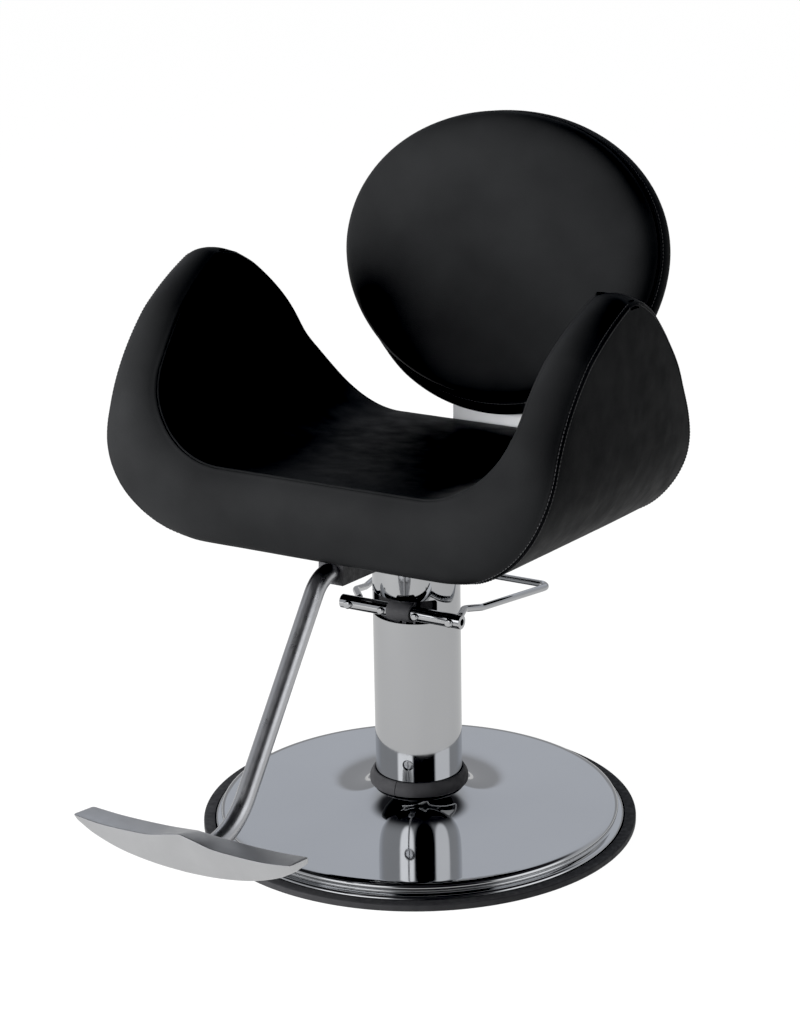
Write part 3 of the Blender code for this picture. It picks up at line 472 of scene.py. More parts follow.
def swept(path, radius, segments=32, hollow=0.0):
    """Rod along a path, or a tube with a bore."""
    bm = bmesh.new()
    skins = []
    for size in [radius] + ([hollow] if hollow else []):
        normal, rings = None, []
        for i, point in enumerate(path):
            along = (path[min(i + 1, len(path) - 1)] - path[max(i - 1, 0)]).normalized()
            if normal is None:
                normal = along.cross(Vector((1, 0, 0)))
                if normal.length < 0.1:
                    normal = along.cross(Vector((0, 0, 1)))
            normal = (normal - along * normal.dot(along)).normalized()
            across = along.cross(normal)
            rings.append([bm.verts.new(point + (normal * cos(2 * pi * k / segments)
                                                + across * sin(2 * pi * k / segments)) * size)
                          for k in range(segments)])
        skins.append(rings)
        join(bm, rings, capped=not hollow)
    if hollow:
        stitch(bm, skins[0][0], skins[1][0])
        stitch(bm, skins[0][-1], skins[1][-1])
    return outward(bm)


def cut(target, cutter_bm):
    """Boolean difference, applied, with a cutter that is thrown away."""
    cutter = place_mesh("cutter", cutter_bm)
    boolean = target.modifiers.new("cut", "BOOLEAN")
    boolean.operation = "DIFFERENCE"
    boolean.solver = "EXACT"
    boolean.object = cutter
    apply_modifiers(target)
    bpy.data.meshes.remove(cutter.data)


def apply_modifiers(target):
    graph = bpy.context.evaluated_depsgraph_get()
    graph.update()
    result = bpy.data.meshes.new_from_object(target.evaluated_get(graph), depsgraph=graph)
    target.modifiers.clear()
    old = target.data
    target.data = result
    bpy.data.meshes.remove(old)


def block(low, high, chamfer=0.0):
    bm = bmesh.new()
    bmesh.ops.create_cube(bm, size=1.0)
    bmesh.ops.scale(bm, verts=bm.verts, vec=[b - a for a, b in zip(low, high)])
    bmesh.ops.translate(bm, verts=bm.verts, vec=[(a + b) / 2 for a, b in zip(low, high)])
    if chamfer:
        bmesh.ops.bevel(bm, geom=bm.edges[:], offset=chamfer, segments=1, profile=0.5,
                        affect="EDGES")
    return bm


def between(points, value):
    """Smooth curve through (position, value) pairs, read at one position."""
    value = min(max(value, points[0][0]), points[-1][0])
    for i in range(len(points) - 1):
        if value <= points[i + 1][0]:
            break
    x0, y0 = points[i]
    x1, y1 = points[i + 1]
    slopes = []
    for k in (i, i + 1):
        low, high = points[max(k - 1, 0)], points[min(k + 1, len(points) - 1)]
        slopes.append((high[1] - low[1]) / (high[0] - low[0]))
    width = x1 - x0
    t = (value - x0) / width
    return ((2 * t ** 3 - 3 * t ** 2 + 1) * y0 + (t ** 3 - 2 * t ** 2 + t) * width * slopes[0]
            + (3 * t ** 2 - 2 * t ** 3) * y1 + (t ** 3 - t ** 2) * width * slopes[1])


# ---------------------------------------------------------------- base and column


def cover_height(r):
    flare = FLARE_H * exp(-(r - COVER_NECK_R) / FLARE_REACH)
    return COVER_RIM_Z + COVER_SLOPE * (COVER_RIM_R - r) + flare


def build_base():
    radii = [COVER_NECK_R + (COVER_RIM_R - COVER_NECK_R) * k / 56 for k in range(57)]
    rim = [(COVER_RIM_R, COVER_RIM_Z), (0.2710, 0.0254), (0.2742, 0.0233), (0.2753, 0.0208),
           (0.2745, 0.0181), (0.2722, 0.0158), (0.2732, 0.0138), (0.2770, 0.0126),
           (0.2808, 0.0118), (0.2828, 0.0100), (0.2835, 0.0064)]
    outside = [Vector((r, cover_height(r))) for r in radii] + smooth_line(rim, 4)[1:]
    inside = inside_of(outside, 0.0015)
    inside[-1] = Vector((0.2820, 0.0064))
    cover = lathe(outside + inside[::-1], 192)
    add("base_cover_chrome", cover, CHROME, "base", ["base_cover"])

    ring = rounded([(0.2688, 0.0), (0.3000, 0.0), (0.3000, 0.0088), (0.2843, 0.0088),
                    (0.2843, 0.0060), (0.2688, 0.0060)],
                   [0, 0.0012, 0.0022, 0.0006, 0, 0], 5)
    add("floor_ring_rubber", lathe(ring, 192), RUBBER, "base",
        ["floor_ring"])

    bead = smooth_line([(0.0601, 0.0545), (0.0650, 0.0543), (0.0675, 0.0562), (0.0682, 0.0610),
                        (0.0674, 0.0660), (0.0650, 0.0705), (0.0625, 0.0742), (0.0608, 0.0748),
                        (0.0601, 0.0745)], 4)
    split = 0.35                 # half angle of the joint in the moulding, in degrees
    bead = lathe(bead, 128, split, 360.0 - 2 * split)
    add("column_ring_rubber", bead, RUBBER, "base", ["column_ring"], sharp=50)


def build_sleeve():
    low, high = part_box("column_sleeve")
    outer, inner, lip = SLEEVE_R, SLEEVE_R - SLEEVE_WALL, 0.0005
    rows = [low.z + (high.z - low.z - lip) * k / 80 for k in range(81)]
    outline = [(outer, z) for z in rows] + [(outer - lip, high.z), (inner, high.z)]
    outline += [(inner, z) for z in rows[::-10]]
    tube = lathe(outline, 160)
    sleeve = add("column_sleeve_chrome", tube, CHROME, "base", ["column_sleeve"])

    cut(sleeve, slot_cutter())
    cut(sleeve, at_seam(block((-0.0003, -0.070, 0.336), (0.0003, -0.050, high.z + 0.002))))
    hole = lathe([(0, 0), (0.0077, 0), (0.0077, 0.02), (0, 0.02)], 40)
    cut(sleeve, turn_to(hole, around(0.050, SEAM_ANGLE, SLEEVE_SCREW_Z),
                        around(1, SEAM_ANGLE, 0)))
    round_normals(sleeve.data, (outer, inner))

    head = rounded([(0, 0.0), (0.0027, 0.0), (0.0027, 0.0105), (0.0072, 0.0105),
                    (0.0072, 0.0150), (0.0050, 0.0160), (0, 0.0162)],
                   [0, 0, 0, 0.0003, 0.0012, 0.001, 0], 3)
    screw = turn_to(lathe(head, 48),
                    around(0.0425, SEAM_ANGLE, SLEEVE_SCREW_Z), around(1, SEAM_ANGLE, 0))
    screw = add("sleeve_screw_head", screw, STEEL, "base", ["sleeve_screw"])
    cut(screw, at_seam(block((-0.0009, -0.062, SLEEVE_SCREW_Z - 0.012),
                             (0.0009, -0.0568, SLEEVE_SCREW_Z + 0.012))))


def at_seam(bm):
    """Turn a block from the front of the column round to the seam of its sleeve."""
    bmesh.ops.rotate(bm, verts=bm.verts, cent=(0, 0, 0),
                     matrix=Matrix.Rotation(radians(SEAM_ANGLE), 3, "Z"))
    return bm


def round_normals(mesh, radii):
    """Shade the walls of a cut tube by their true curve, and every cut edge flat."""
    normals = []
    for face in mesh.polygons:
        corners = [mesh.vertices[v].co for v in face.vertices]
        side = face.normal.xy.dot(face.center.xy.normalized())
        walls = [r for r in radii if all(abs(c.xy.length - r) < 1e-4 for c in corners)]
        for corner in corners:
            if walls and abs(side) > 0.9:
                radial = corner.xy.normalized() * (1 if side > 0 else -1)
                normals.append((radial.x, radial.y, 0.0))
            else:
                normals.append(tuple(face.normal))
    mesh.shade_smooth()
    mesh.normals_split_custom_set(normals)


def slot_cutter():
    """Block bent round the column, as tall as the slot, with rounded ends."""
    middle, half = (SLOT_LOW + SLOT_HIGH) / 2, (SLOT_HIGH - SLOT_LOW) / 2
    corner = degrees(SLOT_CORNER / SLEEVE_R)
    bm = bmesh.new()
    loops = []
    for k in range(-40, 41):
        angle = SLOT_HALF_ANGLE * sin(pi / 2 * k / 40)
        short = max(0.0, 1 - (SLOT_HALF_ANGLE - abs(angle)) / corner)
        reach = half - SLOT_CORNER * (1 - sqrt(1 - short * short))
        loops.append([bm.verts.new(around(r, angle, middle + side * reach))
                      for r, side in ((0.050, -1), (0.070, -1), (0.070, 1), (0.050, 1))])
    return outward(join(bm, loops))


# ---------------------------------------------------------------- pump lever


def build_lever():
    end = LEVER_X - BAR_HALF
    bar = rounded([(0, 0.0), (BAR_R, 0.0), (BAR_R, 2 * BAR_HALF), (0, 2 * BAR_HALF)],
                  [0, 0.0009, 0.0009, 0], 4)
    tube = turn_to(lathe(bar, 96), (end, BAR_Y, BAR_Z), (1, 0, 0))
    bar = add("crossbar_chrome", tube, CHROME, "pump_lever", ["crossbar"])
    for side in (-1, 1):
        mouth = LEVER_X + side * (BAR_HALF - 0.012)
        socket = lathe([(0, 0), (0.0046, 0), (0.0046, 0.012), (0.0052, 0.0132), (0, 0.0132)], 40)
        cut(bar, turn_to(socket, (mouth, BAR_Y, BAR_Z), (side, 0, 0)))
    bar.data.shade_smooth()
    bar.data.set_sharp_from_angle(angle=radians(38))

    for name in ("loop_bolt_left", "loop_bolt_right", "yoke_bolt_left", "yoke_bolt_right"):
        low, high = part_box(name)
        x, face = (low.x + high.x) / 2, low.y
        size = 0.0058 if name.startswith("loop") else 0.0050
        dome = rounded([(0, 0), (0.0026, 0), (0.0026, high.y - face - 0.0046),
                        (size, high.y - face - 0.0046), (size, high.y - face - 0.0014),
                        (size * 0.7, high.y - face), (0, high.y - face)],
                       [0, 0, 0, 0.0004, 0.0016, 0.002, 0], 5)
        screw = turn_to(lathe(dome, 48), (x, high.y, BAR_Z), (0, -1, 0))
        add(name + "_screw", screw, CHROME, "pump_lever", [name], sharp=50)

    # collar: a strip of rubber bent round the front of the bar and open at the back, where the
    # bar swings close to the column
    turns = [radians(COLLAR_OPENING + (360 - 2 * COLLAR_OPENING) * k / 48) for k in range(49)]
    outline = [(BAR_Y + r * cos(turn), BAR_Z + r * sin(turn))
               for r, run in ((COLLAR_R, turns), (COLLAR_BORE_R, turns[::-1])) for turn in run]
    stations = [(-0.0178, 0.0012), (-0.0175, 0.0005), (-0.0166, 0.0), (0.0166, 0.0),
                (0.0175, 0.0005), (0.0178, 0.0012)]
    bm = bmesh.new()
    loops = []
    for x, shrink in stations:
        loop = []
        for k, (y, z) in enumerate(outline):
            away = Vector((0, y - BAR_Y, z - BAR_Z)).normalized() * (shrink if k < 49 else 0)
            loop.append(bm.verts.new(Vector((LEVER_X + x, y, z)) - away))
        loops.append(loop)
    join(bm, loops, capped=False)
    for loop in (loops[0], loops[-1]):
        for k in range(48):
            bm.faces.new((loop[k], loop[k + 1], loop[96 - k], loop[97 - k]))
    add("bar_collar_rubber", outward(bm), RUBBER, "pump_lever", ["bar_collar"])

    low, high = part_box("lever_loop")
    start_y = BAR_Y + BAR_R + 0.0003
    rear_y, rear_z = high.y - ROD_R, low.z + ROD_R
    half = high.x - ROD_R
    knee_x, knee_y, knee_z = LOOP_KNEE
    right, left = LEVER_X + LOOP_BOLT_X, LEVER_X - LOOP_BOLT_X
    corners = [(right, start_y, BAR_Z), (right, start_y + 0.012, BAR_Z - 0.0003),
               (LOOP_WAIST_X, -0.020, BAR_Z - 0.0015), LOOP_KNEE, (half, rear_y, rear_z),
               (-half, rear_y, rear_z), (-knee_x, knee_y, knee_z),
               (-LOOP_WAIST_X, -0.020, BAR_Z - 0.0015),
               (left, start_y + 0.012, BAR_Z - 0.0003), (left, start_y, BAR_Z)]
    path = bent_path(corners, [0.010, 0.020, 0.030, 0.014, 0.014, 0.030, 0.020, 0.010])
    add("lever_loop_chrome", swept(path, ROD_R, 32), CHROME, "pump_lever",
        ["lever_loop"])


# ---------------------------------------------------------------- footrest


def build_footrest():
    seat = Matrix.Translation(SEAT_ORIGIN) @ Matrix.Rotation(radians(-SEAT_TILT), 4, "X")
    axis = SEAT_BOTTOM - 0.0165
    start = seat @ Vector((0, 0.139, axis))
    run = seat @ Vector((0, 0.005, axis))
    slant = Vector((0, -0.6293, -0.7771))
    top = meet(start, run - start, Vector((0, -0.2670, 0.4050)), slant)
    bottom = meet(top, slant, Vector((0, 0, TUBE_FOOT_Z)), Vector((0, 1, 0)))
    end = Vector((0, FOOT_REAR_Y + 0.0018, TUBE_FOOT_Z))
    path = bent_path([start, top, bottom, end], [0.045, 0.090], radians(4))
    add("footrest_tube_satin", swept(path, TUBE_R, 48, TUBE_R - 0.002), TUBE_STEEL,
        "seat_assembly", ["footrest_tube"])

    weld = smooth_line([(TUBE_R - 0.0005, 0.0010), (0.0192, 0.0010), (0.0176, 0.0028),
                        (0.0152, 0.0058), (0.0137, 0.0096), (0.0129, 0.0150),
                        (TUBE_R - 0.0005, 0.0170)], 4)
    bead = lathe(weld, 96)
    for vert in bead.verts:
        ripple = noise.noise(vert.co * 260.0) * 0.0004
        vert.co += Vector((vert.co.x, vert.co.y, 0)).normalized() * ripple
    turn_to(bead, (0, FOOT_REAR_Y, TUBE_FOOT_Z), (0, 1, 0))
    add("footrest_weld", bead, ALUMINIUM, "seat_assembly", sharp=60)
    build_footplate()


def meet(start, along, other, other_along):
    """Crossing of two lines in the middle plane of the chair."""
    turn = along.y * other_along.z - along.z * other_along.y
    offset = other - start
    return start + along * ((offset.y * other_along.z - offset.z * other_along.y) / turn)


def foot_section(share):
    """Section of the casting at a share of its half length, as (y, z) from the front top edge."""
    rise = between([(0.0, 0.209), (0.13, 0.2045), (0.28, 0.1992), (0.48, 0.1975),
                    (0.75, 0.1975), (1.0, 0.2015)], share)
    rear = between([(0.0, 0.1962), (0.3, 0.1935), (0.7, 0.1930), (1.0, 0.1955)], share)
    belly = between([(0.0, 0.1525), (0.3, 0.1545), (0.6, 0.1615), (0.85, 0.1745),
                     (1.0, 0.1885)], share)
    heel = between([(0.0, 0.1500), (0.12, 0.1502), (0.4, 0.1590), (0.75, 0.1720),
                    (1.0, 0.1880)], share)
    return [(FOOT_FRONT_Y, rise), (FOOT_REAR_Y, rear), (FOOT_REAR_Y, heel),
            (FOOT_FRONT_Y + 0.010, belly)]


def build_footplate():
    bm = bmesh.new()
    loops = []
    shares = [sin(pi / 2 * k / 44) for k in range(-44, 45)]
    for share in shares:
        reach = abs(share)
        end = sqrt(max(0.0, 1 - max(0.0, (reach - 0.975) / 0.025) ** 2))
        section = [Vector(p) for p in foot_section(reach)]
        middle = sum(section, Vector((0, 0))) / 4
        pull = Vector((0.75 + 0.25 * end, 0.84 + 0.16 * end))
        shaped = [middle + Vector(((p.x - middle.x) * pull.x, (p.y - middle.y) * pull.y))
                  for p in section]
        line = rounded(shaped, [0.0022, 0.0030, 0.0040, 0.0075], 6)
        loops.append([bm.verts.new((share * FOOT_HALF, p.x, p.y)) for p in line])
    add("footplate_cast", outward(join(bm, loops)), ALUMINIUM, "seat_assembly",
        ["footplate"], sharp=60)


# ---------------------------------------------------------------- seat upholstery


def contour(s, fraction):
    """Front view of the shell: s runs from the left arm's top (-1) to the right one's (1).

    Fraction 0 is the sitter's side and 1 the outside. Returns (x, height).
    """
    flat, corner = 0.20, 0.58
    side, reach = (1 if s >= 0 else -1), abs(s)
    lines = []
    for half, radius, low, top in ((INNER_FLAT, INNER_CORNER, 0.0, INNER_TOP_X),
                                   (OUTER_FLAT, OUTER_CORNER, SEAT_BOTTOM, OUTER_TOP_X)):
        if reach <= flat:
            lines.append((half * reach / flat, low))
        elif reach <= corner:
            angle = (reach - flat) / (corner - flat) * pi / 2
            lines.append((half + radius * sin(angle), low + radius * (1 - cos(angle))))
        else:
            rise = (reach - corner) / (1 - corner)
            lines.append((half + radius + (top - half - radius) * rise ** 1.5,
                          low + radius + (ARM_TOP - low - radius) * rise))
    (x0, z0), (x1, z1) = lines
    return side * (x0 + fraction * (x1 - x0)), z0 + fraction * (z1 - z0)


def thickness(s):
    (x0, z0), (x1, z1) = contour(s, 0.0), contour(s, 1.0)
    return sqrt((x1 - x0) ** 2 + (z1 - z0) ** 2)


def shell_point(s, t, fraction, inset=0.0):
    """Point of the shell: t runs from the front edge (0) to the rear edge (1)."""
    x, z = contour(s, fraction)
    front, rear = between(FRONT_EDGE, z), between(REAR_EDGE, z)
    middle, half = (front + rear) / 2, (rear - front) / 2
    half = max(half - inset, 0.0)
    pull = between(REAR_CORNER, z) * fraction * t * t
    x -= REAR_NARROW * pull * (1 if s >= 0 else -1)
    y = middle + (2 * t - 1) * half - REAR_FORWARD * pull
    lift = max(z - INNER_CORNER * 0.5, 0) / (ARM_TOP - INNER_CORNER * 0.5)
    fall = SEAT_FALL * t * (1 - fraction) * max(0.0, 1 - max(z, 0) / 0.08)
    dip = OUTER_DIP * fraction * max(0.0, (abs(s) - 0.58) / 0.42) ** 2
    return Vector((x, y, z - inset * lift - fall - dip))


def seat_matrix():
    return Matrix.Translation(SEAT_ORIGIN) @ Matrix.Rotation(radians(-SEAT_TILT), 4, "X")


def seam_stations(count):
    """(s, t) round a seam: along the front, over the right arm, back along the rear."""
    front = [(sin(pi / 2 * (2 * k / count - 1)), 0.0) for k in range(count)]
    return front + [(-s, 1.0) for s, _ in front]


def seam(fraction, count=1500):
    """Seam at the inner (0) or outer (1) edge: [(place, direction into the padding)]."""
    line = []
    for s, t in seam_stations(count):
        place = shell_point(s, t, fraction)
        share = TUCK / thickness(s)
        deeper = shell_point(s, t, share if fraction == 0 else 1 - share, TUCK)
        line.append((place, (deeper - place).normalized()))
    return line


def tree_of(line):
    tree = kdtree.KDTree(len(line))
    for i, (place, _) in enumerate(line):
        tree.insert(place, i)
    tree.balance()
    return tree


def dress(bm, line, crown, reach, crowned=lambda co: 1.0):
    """Puff a sheet up between its seams and draw it down into them; faces end up outward.

    Beside each seam runs the low ridge that its turned edge makes under the cover.
    """
    tree = tree_of(line)
    bm.normal_update()
    bm.faces.ensure_lookup_table()
    first = bm.faces[len(bm.faces) // 2]
    _, i, _ = tree.find(first.calc_center_median())
    if first.normal.dot(line[i][1]) > 0:
        bmesh.ops.reverse_faces(bm, faces=bm.faces[:])
        bm.normal_update()
    moves = []
    for vert in bm.verts:
        _, i, distance = tree.find(vert.co)
        wave = noise.noise(vert.co * 7.0) * 0.0005 + noise.noise(vert.co * 24.0) * 0.00012
        rise = (crown * crowned(vert.co) + wave) * (1 - exp(-distance / reach))
        ridge = 0.0005 * exp(-((distance - 0.0030) / 0.0012) ** 2)
        move = vert.normal * (rise + ridge)
        if distance < CREASE_WIDTH:
            pucker = 1 + 0.15 * noise.noise(vert.co * 75.0)
            move += line[i][1] * CREASE * pucker * (1 - distance / CREASE_WIDTH) ** 2
        moves.append(move)
    for vert, move in zip(bm.verts, moves):
        vert.co += move
    return bm


def panel_sheet(fraction):
    """Sheet over the sitter's side (0) or the outside (1), with close rows near its seams."""
    bm = bmesh.new()
    rows = [sin(pi / 2 * k / 130) for k in range(-130, 131)]
    steps = close_to_ends(70)
    loops = []
    for s in rows:
        if abs(s) > 0.99999:
            pole = bm.verts.new(shell_point(s, 0.5, fraction))
            loops.append([pole] * len(steps))
        else:
            loops.append([bm.verts.new(shell_point(s, t, fraction)) for t in steps])
    return join(bm, loops, capped=False, closed=False)


def close_to_ends(count):
    """0 to 1 in steps that are short near both ends."""
    return [0.5 - 0.5 * cos(pi * k / count) for k in range(count + 1)]


def band_sheet():
    bm = bmesh.new()
    stations = seam_stations(300)
    across = close_to_ends(30)
    loops = [[bm.verts.new(shell_point(s, t, f)) for f in across] for s, t in stations]
    return join(bm, loops + loops[:1], capped=False, closed=False)


def upholster(name, bm, stands_for):
    """Turn a dressed sheet into a closed padded piece in the seat's place."""
    bmesh.ops.remove_doubles(bm, verts=bm.verts, dist=1e-5)
    bm.transform(seat_matrix())
    made = add(name, bm, LEATHER, "seat_assembly", stands_for, sharp=80)
    thick = made.modifiers.new("padding", "SOLIDIFY")
    thick.thickness = TUCK * 0.6
    thick.offset = -1
    thick.use_rim = True
    apply_modifiers(made)
    made.data.shade_smooth()
    return made


def build_seat():
    inner, outer = seam(0), seam(1)
    lining = dress(panel_sheet(0), inner, 0.0030, 0.016)
    shell = dress(panel_sheet(1), outer, 0.0012, 0.014, flat_below)
    band = dress(band_sheet(), inner + outer, 1.0, 0.003, rolled(inner, outer))
    skins = [BVHTree.FromBMesh(sheet) for sheet in (band, shell)]
    upholster("seat_lining_cover", lining, ["seat_lining"])
    upholster("outer_shell_cover", shell, ["outer_shell"])
    upholster("edge_band_cover", band, ["edge_band"])

    rows = []
    for skin, share in zip(skins, (-1, 1)):
        rows.append([place for place in stitch_row(outer_row(share), skin)
                     if clear_of_tops(place[0])])
    stitches = bmesh.new()
    for row in rows:
        sew(stitches, row)
    stitches.transform(seat_matrix())
    add("seat_stitching", stitches, THREAD, "seat_assembly", sharp=60)


def clear_of_tops(place):
    """The stitching stops short of the very tops of the arms, where the panels meet."""
    return min((place - shell_point(side, 0.5, 1.0)).length for side in (-1, 1)) > 0.014


def flat_below(co):
    """No crown on the underside, where the steel plates bolt on."""
    return min(max((co.z - SEAT_BOTTOM - 0.004) / 0.05, 0.0), 1.0)


def rolled(inner, outer):
    """Height of the band's padding, which is greatest midway between its seams."""
    trees = tree_of(inner), tree_of(outer)

    def height(co):
        a, b = (tree.find(co)[2] for tree in trees)
        behind = min(max((co.y - 0.17) / 0.10, 0.0), 1.0)
        tighter = 1 - 0.6 * behind * behind * (3 - 2 * behind)
        return tighter * BAND_ROLL * min(a + b, BAND_FULL) * 4 * a * b / (a + b) ** 2

    return height


def outer_row(share):
    """Places beside the outer seam: on the band (share -1) or on the outside panel (1)."""
    line = []
    for s, t in seam_stations(260):
        if share < 0:
            line.append(shell_point(s, t, 1 - STITCH_SET / thickness(s)))
        else:
            inward = STITCH_SET if abs(s) < 0.995 else STITCH_SET * 0.5
            line.append(shell_point(s, t, 1.0, inward))
    return line


def stitch_row(line, skin):
    """Evenly spaced (place, direction, normal) along a closed line, on the skin."""
    row, carry = [], 0.0
    for start, end in zip(line, line[1:] + line[:1]):
        length = (end - start).length
        while carry < length:
            place, normal, _, _ = skin.find_nearest(start.lerp(end, carry / length))
            row.append((place, (end - start).normalized(), normal))
            carry += STITCH_PITCH
        carry -= length
    return row


def sew(bm, row):
    """Add a rounded thread for each place of a row."""
    profile = [(-0.5, 0.15), (-0.46, 0.7), (-0.3, 1.0), (0.3, 1.0), (0.46, 0.7), (0.5, 0.15)]
    for place, along, normal in row:
        across = along.cross(normal).normalized()
        loops = []
        for reach, size in profile:
            sink = 0.0004 * (abs(reach) / 0.5) ** 3
            centre = place + along * reach * STITCH_LENGTH + normal * (0.0002 - sink)
            loops.append([bm.verts.new(centre + (across * cos(pi * k / 3)
                                                 + normal * sin(pi * k / 3)) * STITCH_R * size)
                          for k in range(6)])
        join(bm, loops)
    return outward(bm)


# ---------------------------------------------------------------- backrest


def back_matrix():
    return Matrix.Translation(BACK_ORIGIN) @ Matrix.Rotation(radians(-BACK_TILT), 4, "X")


def oval_point(angle, scale, depth, drop=0.0):
    width = BACK_HALF_WIDTH * cos(angle) * (1 + BACK_EGG * sin(angle))
    height = BACK_HALF_HEIGHT * sin(angle) * scale
    if angle % (2 * pi) > pi:
        height += drop * sin(angle)
    return Vector((width * scale, depth, height))


def loft(profile, count=200):
    """Rows of ovals; profile lists (scale, depth, drop). The first or last may be a pole."""
    bm = bmesh.new()
    loops = []
    for scale, depth, drop in profile:
        if scale < 1e-6:
            pole = bm.verts.new((0, depth, 0))
            loops.append([pole] * count)
        else:
            loops.append([bm.verts.new(oval_point(2 * pi * k / count, scale, depth, drop))
                          for k in range(count)])
    return join(bm, loops, capped=False)


def wavy(bm, size, keep):
    """Slight unevenness of foam under a tight cover; keep(co) is 0 where nothing may move."""
    bm.normal_update()
    for vert in bm.verts:
        wave = noise.noise(vert.co * 8.0) + 0.35 * noise.noise(vert.co * 22.0)
        vert.co += vert.normal * wave * size * keep(vert.co)


def build_back():
    front = []
    for k in range(41):
        scale = sin(pi / 2 * k / 40)
        depth = -0.030 * sqrt(max(0.0, 1 - scale ** 16)) - 0.010 * (1 - scale ** 2)
        front.append((scale, depth, 0.0))
    front[-1] = (1.0, -0.0045, 0.0)
    seam_side = [(0.9985, -0.0025, 0.0), (0.9955, -0.0010, 0.0), (0.990, -0.0004, 0.0)]
    rear = [(0.940, -0.0004, 0.0), (0.935, 0.002, 0.0), (0.935, 0.0250, 0.0),
            (0.5, 0.0250, 0.0), (0.0, 0.0250, 0.0)]
    pad = outward(loft(front + seam_side + rear))
    wavy(pad, 0.0009, lambda co: 1.0 if co.y < -0.012 else 0.0)
    pad.transform(back_matrix())
    pad = add("back_pad_cover", pad, LEATHER, "seat_assembly", ["back_pad"],
              sharp=75)

    drop = BACK_DROP
    outside = [(0.986, 0.0004, 0.0), (0.9925, 0.0008, 0.0), (0.9985, 0.0022, 0.05 * drop),
               (1.0015, 0.0045, 0.18 * drop), (1.007, 0.0085, 0.5 * drop),
               (1.012, 0.0130, 0.8 * drop), (1.015, 0.0185, drop), (1.015, 0.0245, drop),
               (1.010, 0.0300, drop), (0.998, 0.0350, 0.97 * drop),
               (0.978, 0.0395, 0.9 * drop), (0.945, 0.0438, 0.8 * drop),
               (0.90, 0.0475, 0.7 * drop), (0.82, 0.0515, 0.6 * drop),
               (0.70, 0.0545, 0.5 * drop), (0.55, 0.0565, 0.4 * drop),
               (0.38, 0.0578, 0.3 * drop), (0.2, 0.0584, 0.15 * drop), (0.0, 0.0586, 0.0)]
    smooth = smooth_line(outside, 3)
    cavity = [(0.0, 0.0382, 0.0), (0.5, 0.0382, 0.0), (0.93, 0.0382, 0.0),
              (0.945, 0.0375, 0.0), (0.945, 0.0020, 0.0), (0.950, 0.0004, 0.0)]
    shell = loft(cavity + smooth)
    bmesh.ops.holes_fill(shell, edges=[edge for edge in shell.edges if edge.is_boundary])
    outward(shell)
    step_below(shell)
    wavy(shell, 0.0007, lambda co: 1.0 if co.y > 0.040 else 0.0)
    skin = BVHTree.FromBMesh(shell)
    shell.transform(back_matrix())
    shell = add("back_shell_cover", shell, LEATHER, "seat_assembly",
                ["back_shell"], sharp=75)
    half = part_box("back_bracket")[1].x + 0.001
    channel = block((-half, 0.0340, -0.290), (half, 0.0478, 0.004), 0.0006)
    channel.transform(back_matrix())
    cut(shell, channel)
    shell.data.shade_smooth()
    shell.data.set_sharp_from_angle(angle=radians(60))

    line = [oval_point(2 * pi * k / 300, 1.004, 0.0075, 0.35 * drop) for k in range(300)]
    stitches = bmesh.new()
    sew(stitches, stitch_row(line, skin))
    stitches.transform(back_matrix())
    add("back_stitching", stitches, THREAD, "seat_assembly", sharp=60)


def step_below(bm):
    """The side strip ends in a small step at each side, below the middle."""
    for vert in bm.verts:
        if 0.003 < vert.co.y < 0.036:
            below = min(max((-0.062 - vert.co.z) / 0.003, 0.0), 1.0)
            near = 1 - min(max((abs(vert.co.z) - 0.150) / 0.030, 0.0), 1.0)
            side = 1 if vert.co.x > 0 else -1
            vert.co.x -= side * 0.0032 * below * near


def build_bracket():
    """Flat bar from under the seat, up behind it and into the backrest, with eased edges."""
    seat = seat_matrix()
    thick = BRACKET_THICK
    start = seat @ Vector((0, 0.385, SEAT_BOTTOM - 0.0003 - thick / 2))
    run = Vector((0, cos(radians(SEAT_TILT)), -sin(radians(SEAT_TILT))))
    lean = Vector((0, sin(radians(BACK_TILT)), cos(radians(BACK_TILT))))
    rearward = Vector((0, cos(radians(BACK_TILT)), -sin(radians(BACK_TILT))))
    upper = Vector(BACK_ORIGIN) + rearward * (0.0378 + 0.0003 + thick / 2)
    upright = Vector((0, 0.2276, 0))
    corner = meet(start, run, upright, Vector((0, 0, 1)))
    bend = meet(upper, lean, upright, Vector((0, 0, 1)))
    path = bent_path([start, corner, bend, upper], [0.014, 0.060], radians(5))
    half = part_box("back_bracket")[1].x
    section = rounded([(-half, -thick / 2), (half, -thick / 2), (half, thick / 2),
                       (-half, thick / 2)], 0.0012, 3)
    bm = bmesh.new()
    loops = []
    for i, point in enumerate(path):
        along = (path[min(i + 1, len(path) - 1)] - path[max(i - 1, 0)]).normalized()
        side = Vector((0, -along.z, along.y))
        loops.append([bm.verts.new(point + Vector((p.x, 0, 0)) + side * p.y) for p in section])
    add("back_bracket_painted", outward(join(bm, loops)), GREY_PAINT, "seat_assembly",
        ["back_bracket"])


# ---------------------------------------------------------------- studio


def build_camera():
    azimuth, pitch, roll = radians(30.157), radians(18.056), radians(-0.967)
    back = Vector((sin(azimuth) * cos(pitch), -cos(azimuth) * cos(pitch), sin(pitch)))
    level = Vector((cos(azimuth), sin(azimuth), 0))
    above = back.cross(level)
    right = level * cos(roll) + above * sin(roll)
    up = above * cos(roll) - level * sin(roll)
    camera = bpy.data.objects.new("camera", bpy.data.cameras.new("camera"))
    camera.data.lens = 96.6
    camera.data.sensor_width = 36.0
    camera.data.clip_end = 200.0
    turn = Matrix((right, up, back)).transposed().to_4x4()
    camera.matrix_world = Matrix.Translation((1.7337, -3.0247, 1.5853)) @ turn
    bpy.context.scene.collection.objects.link(camera)
    bpy.context.scene.camera = camera


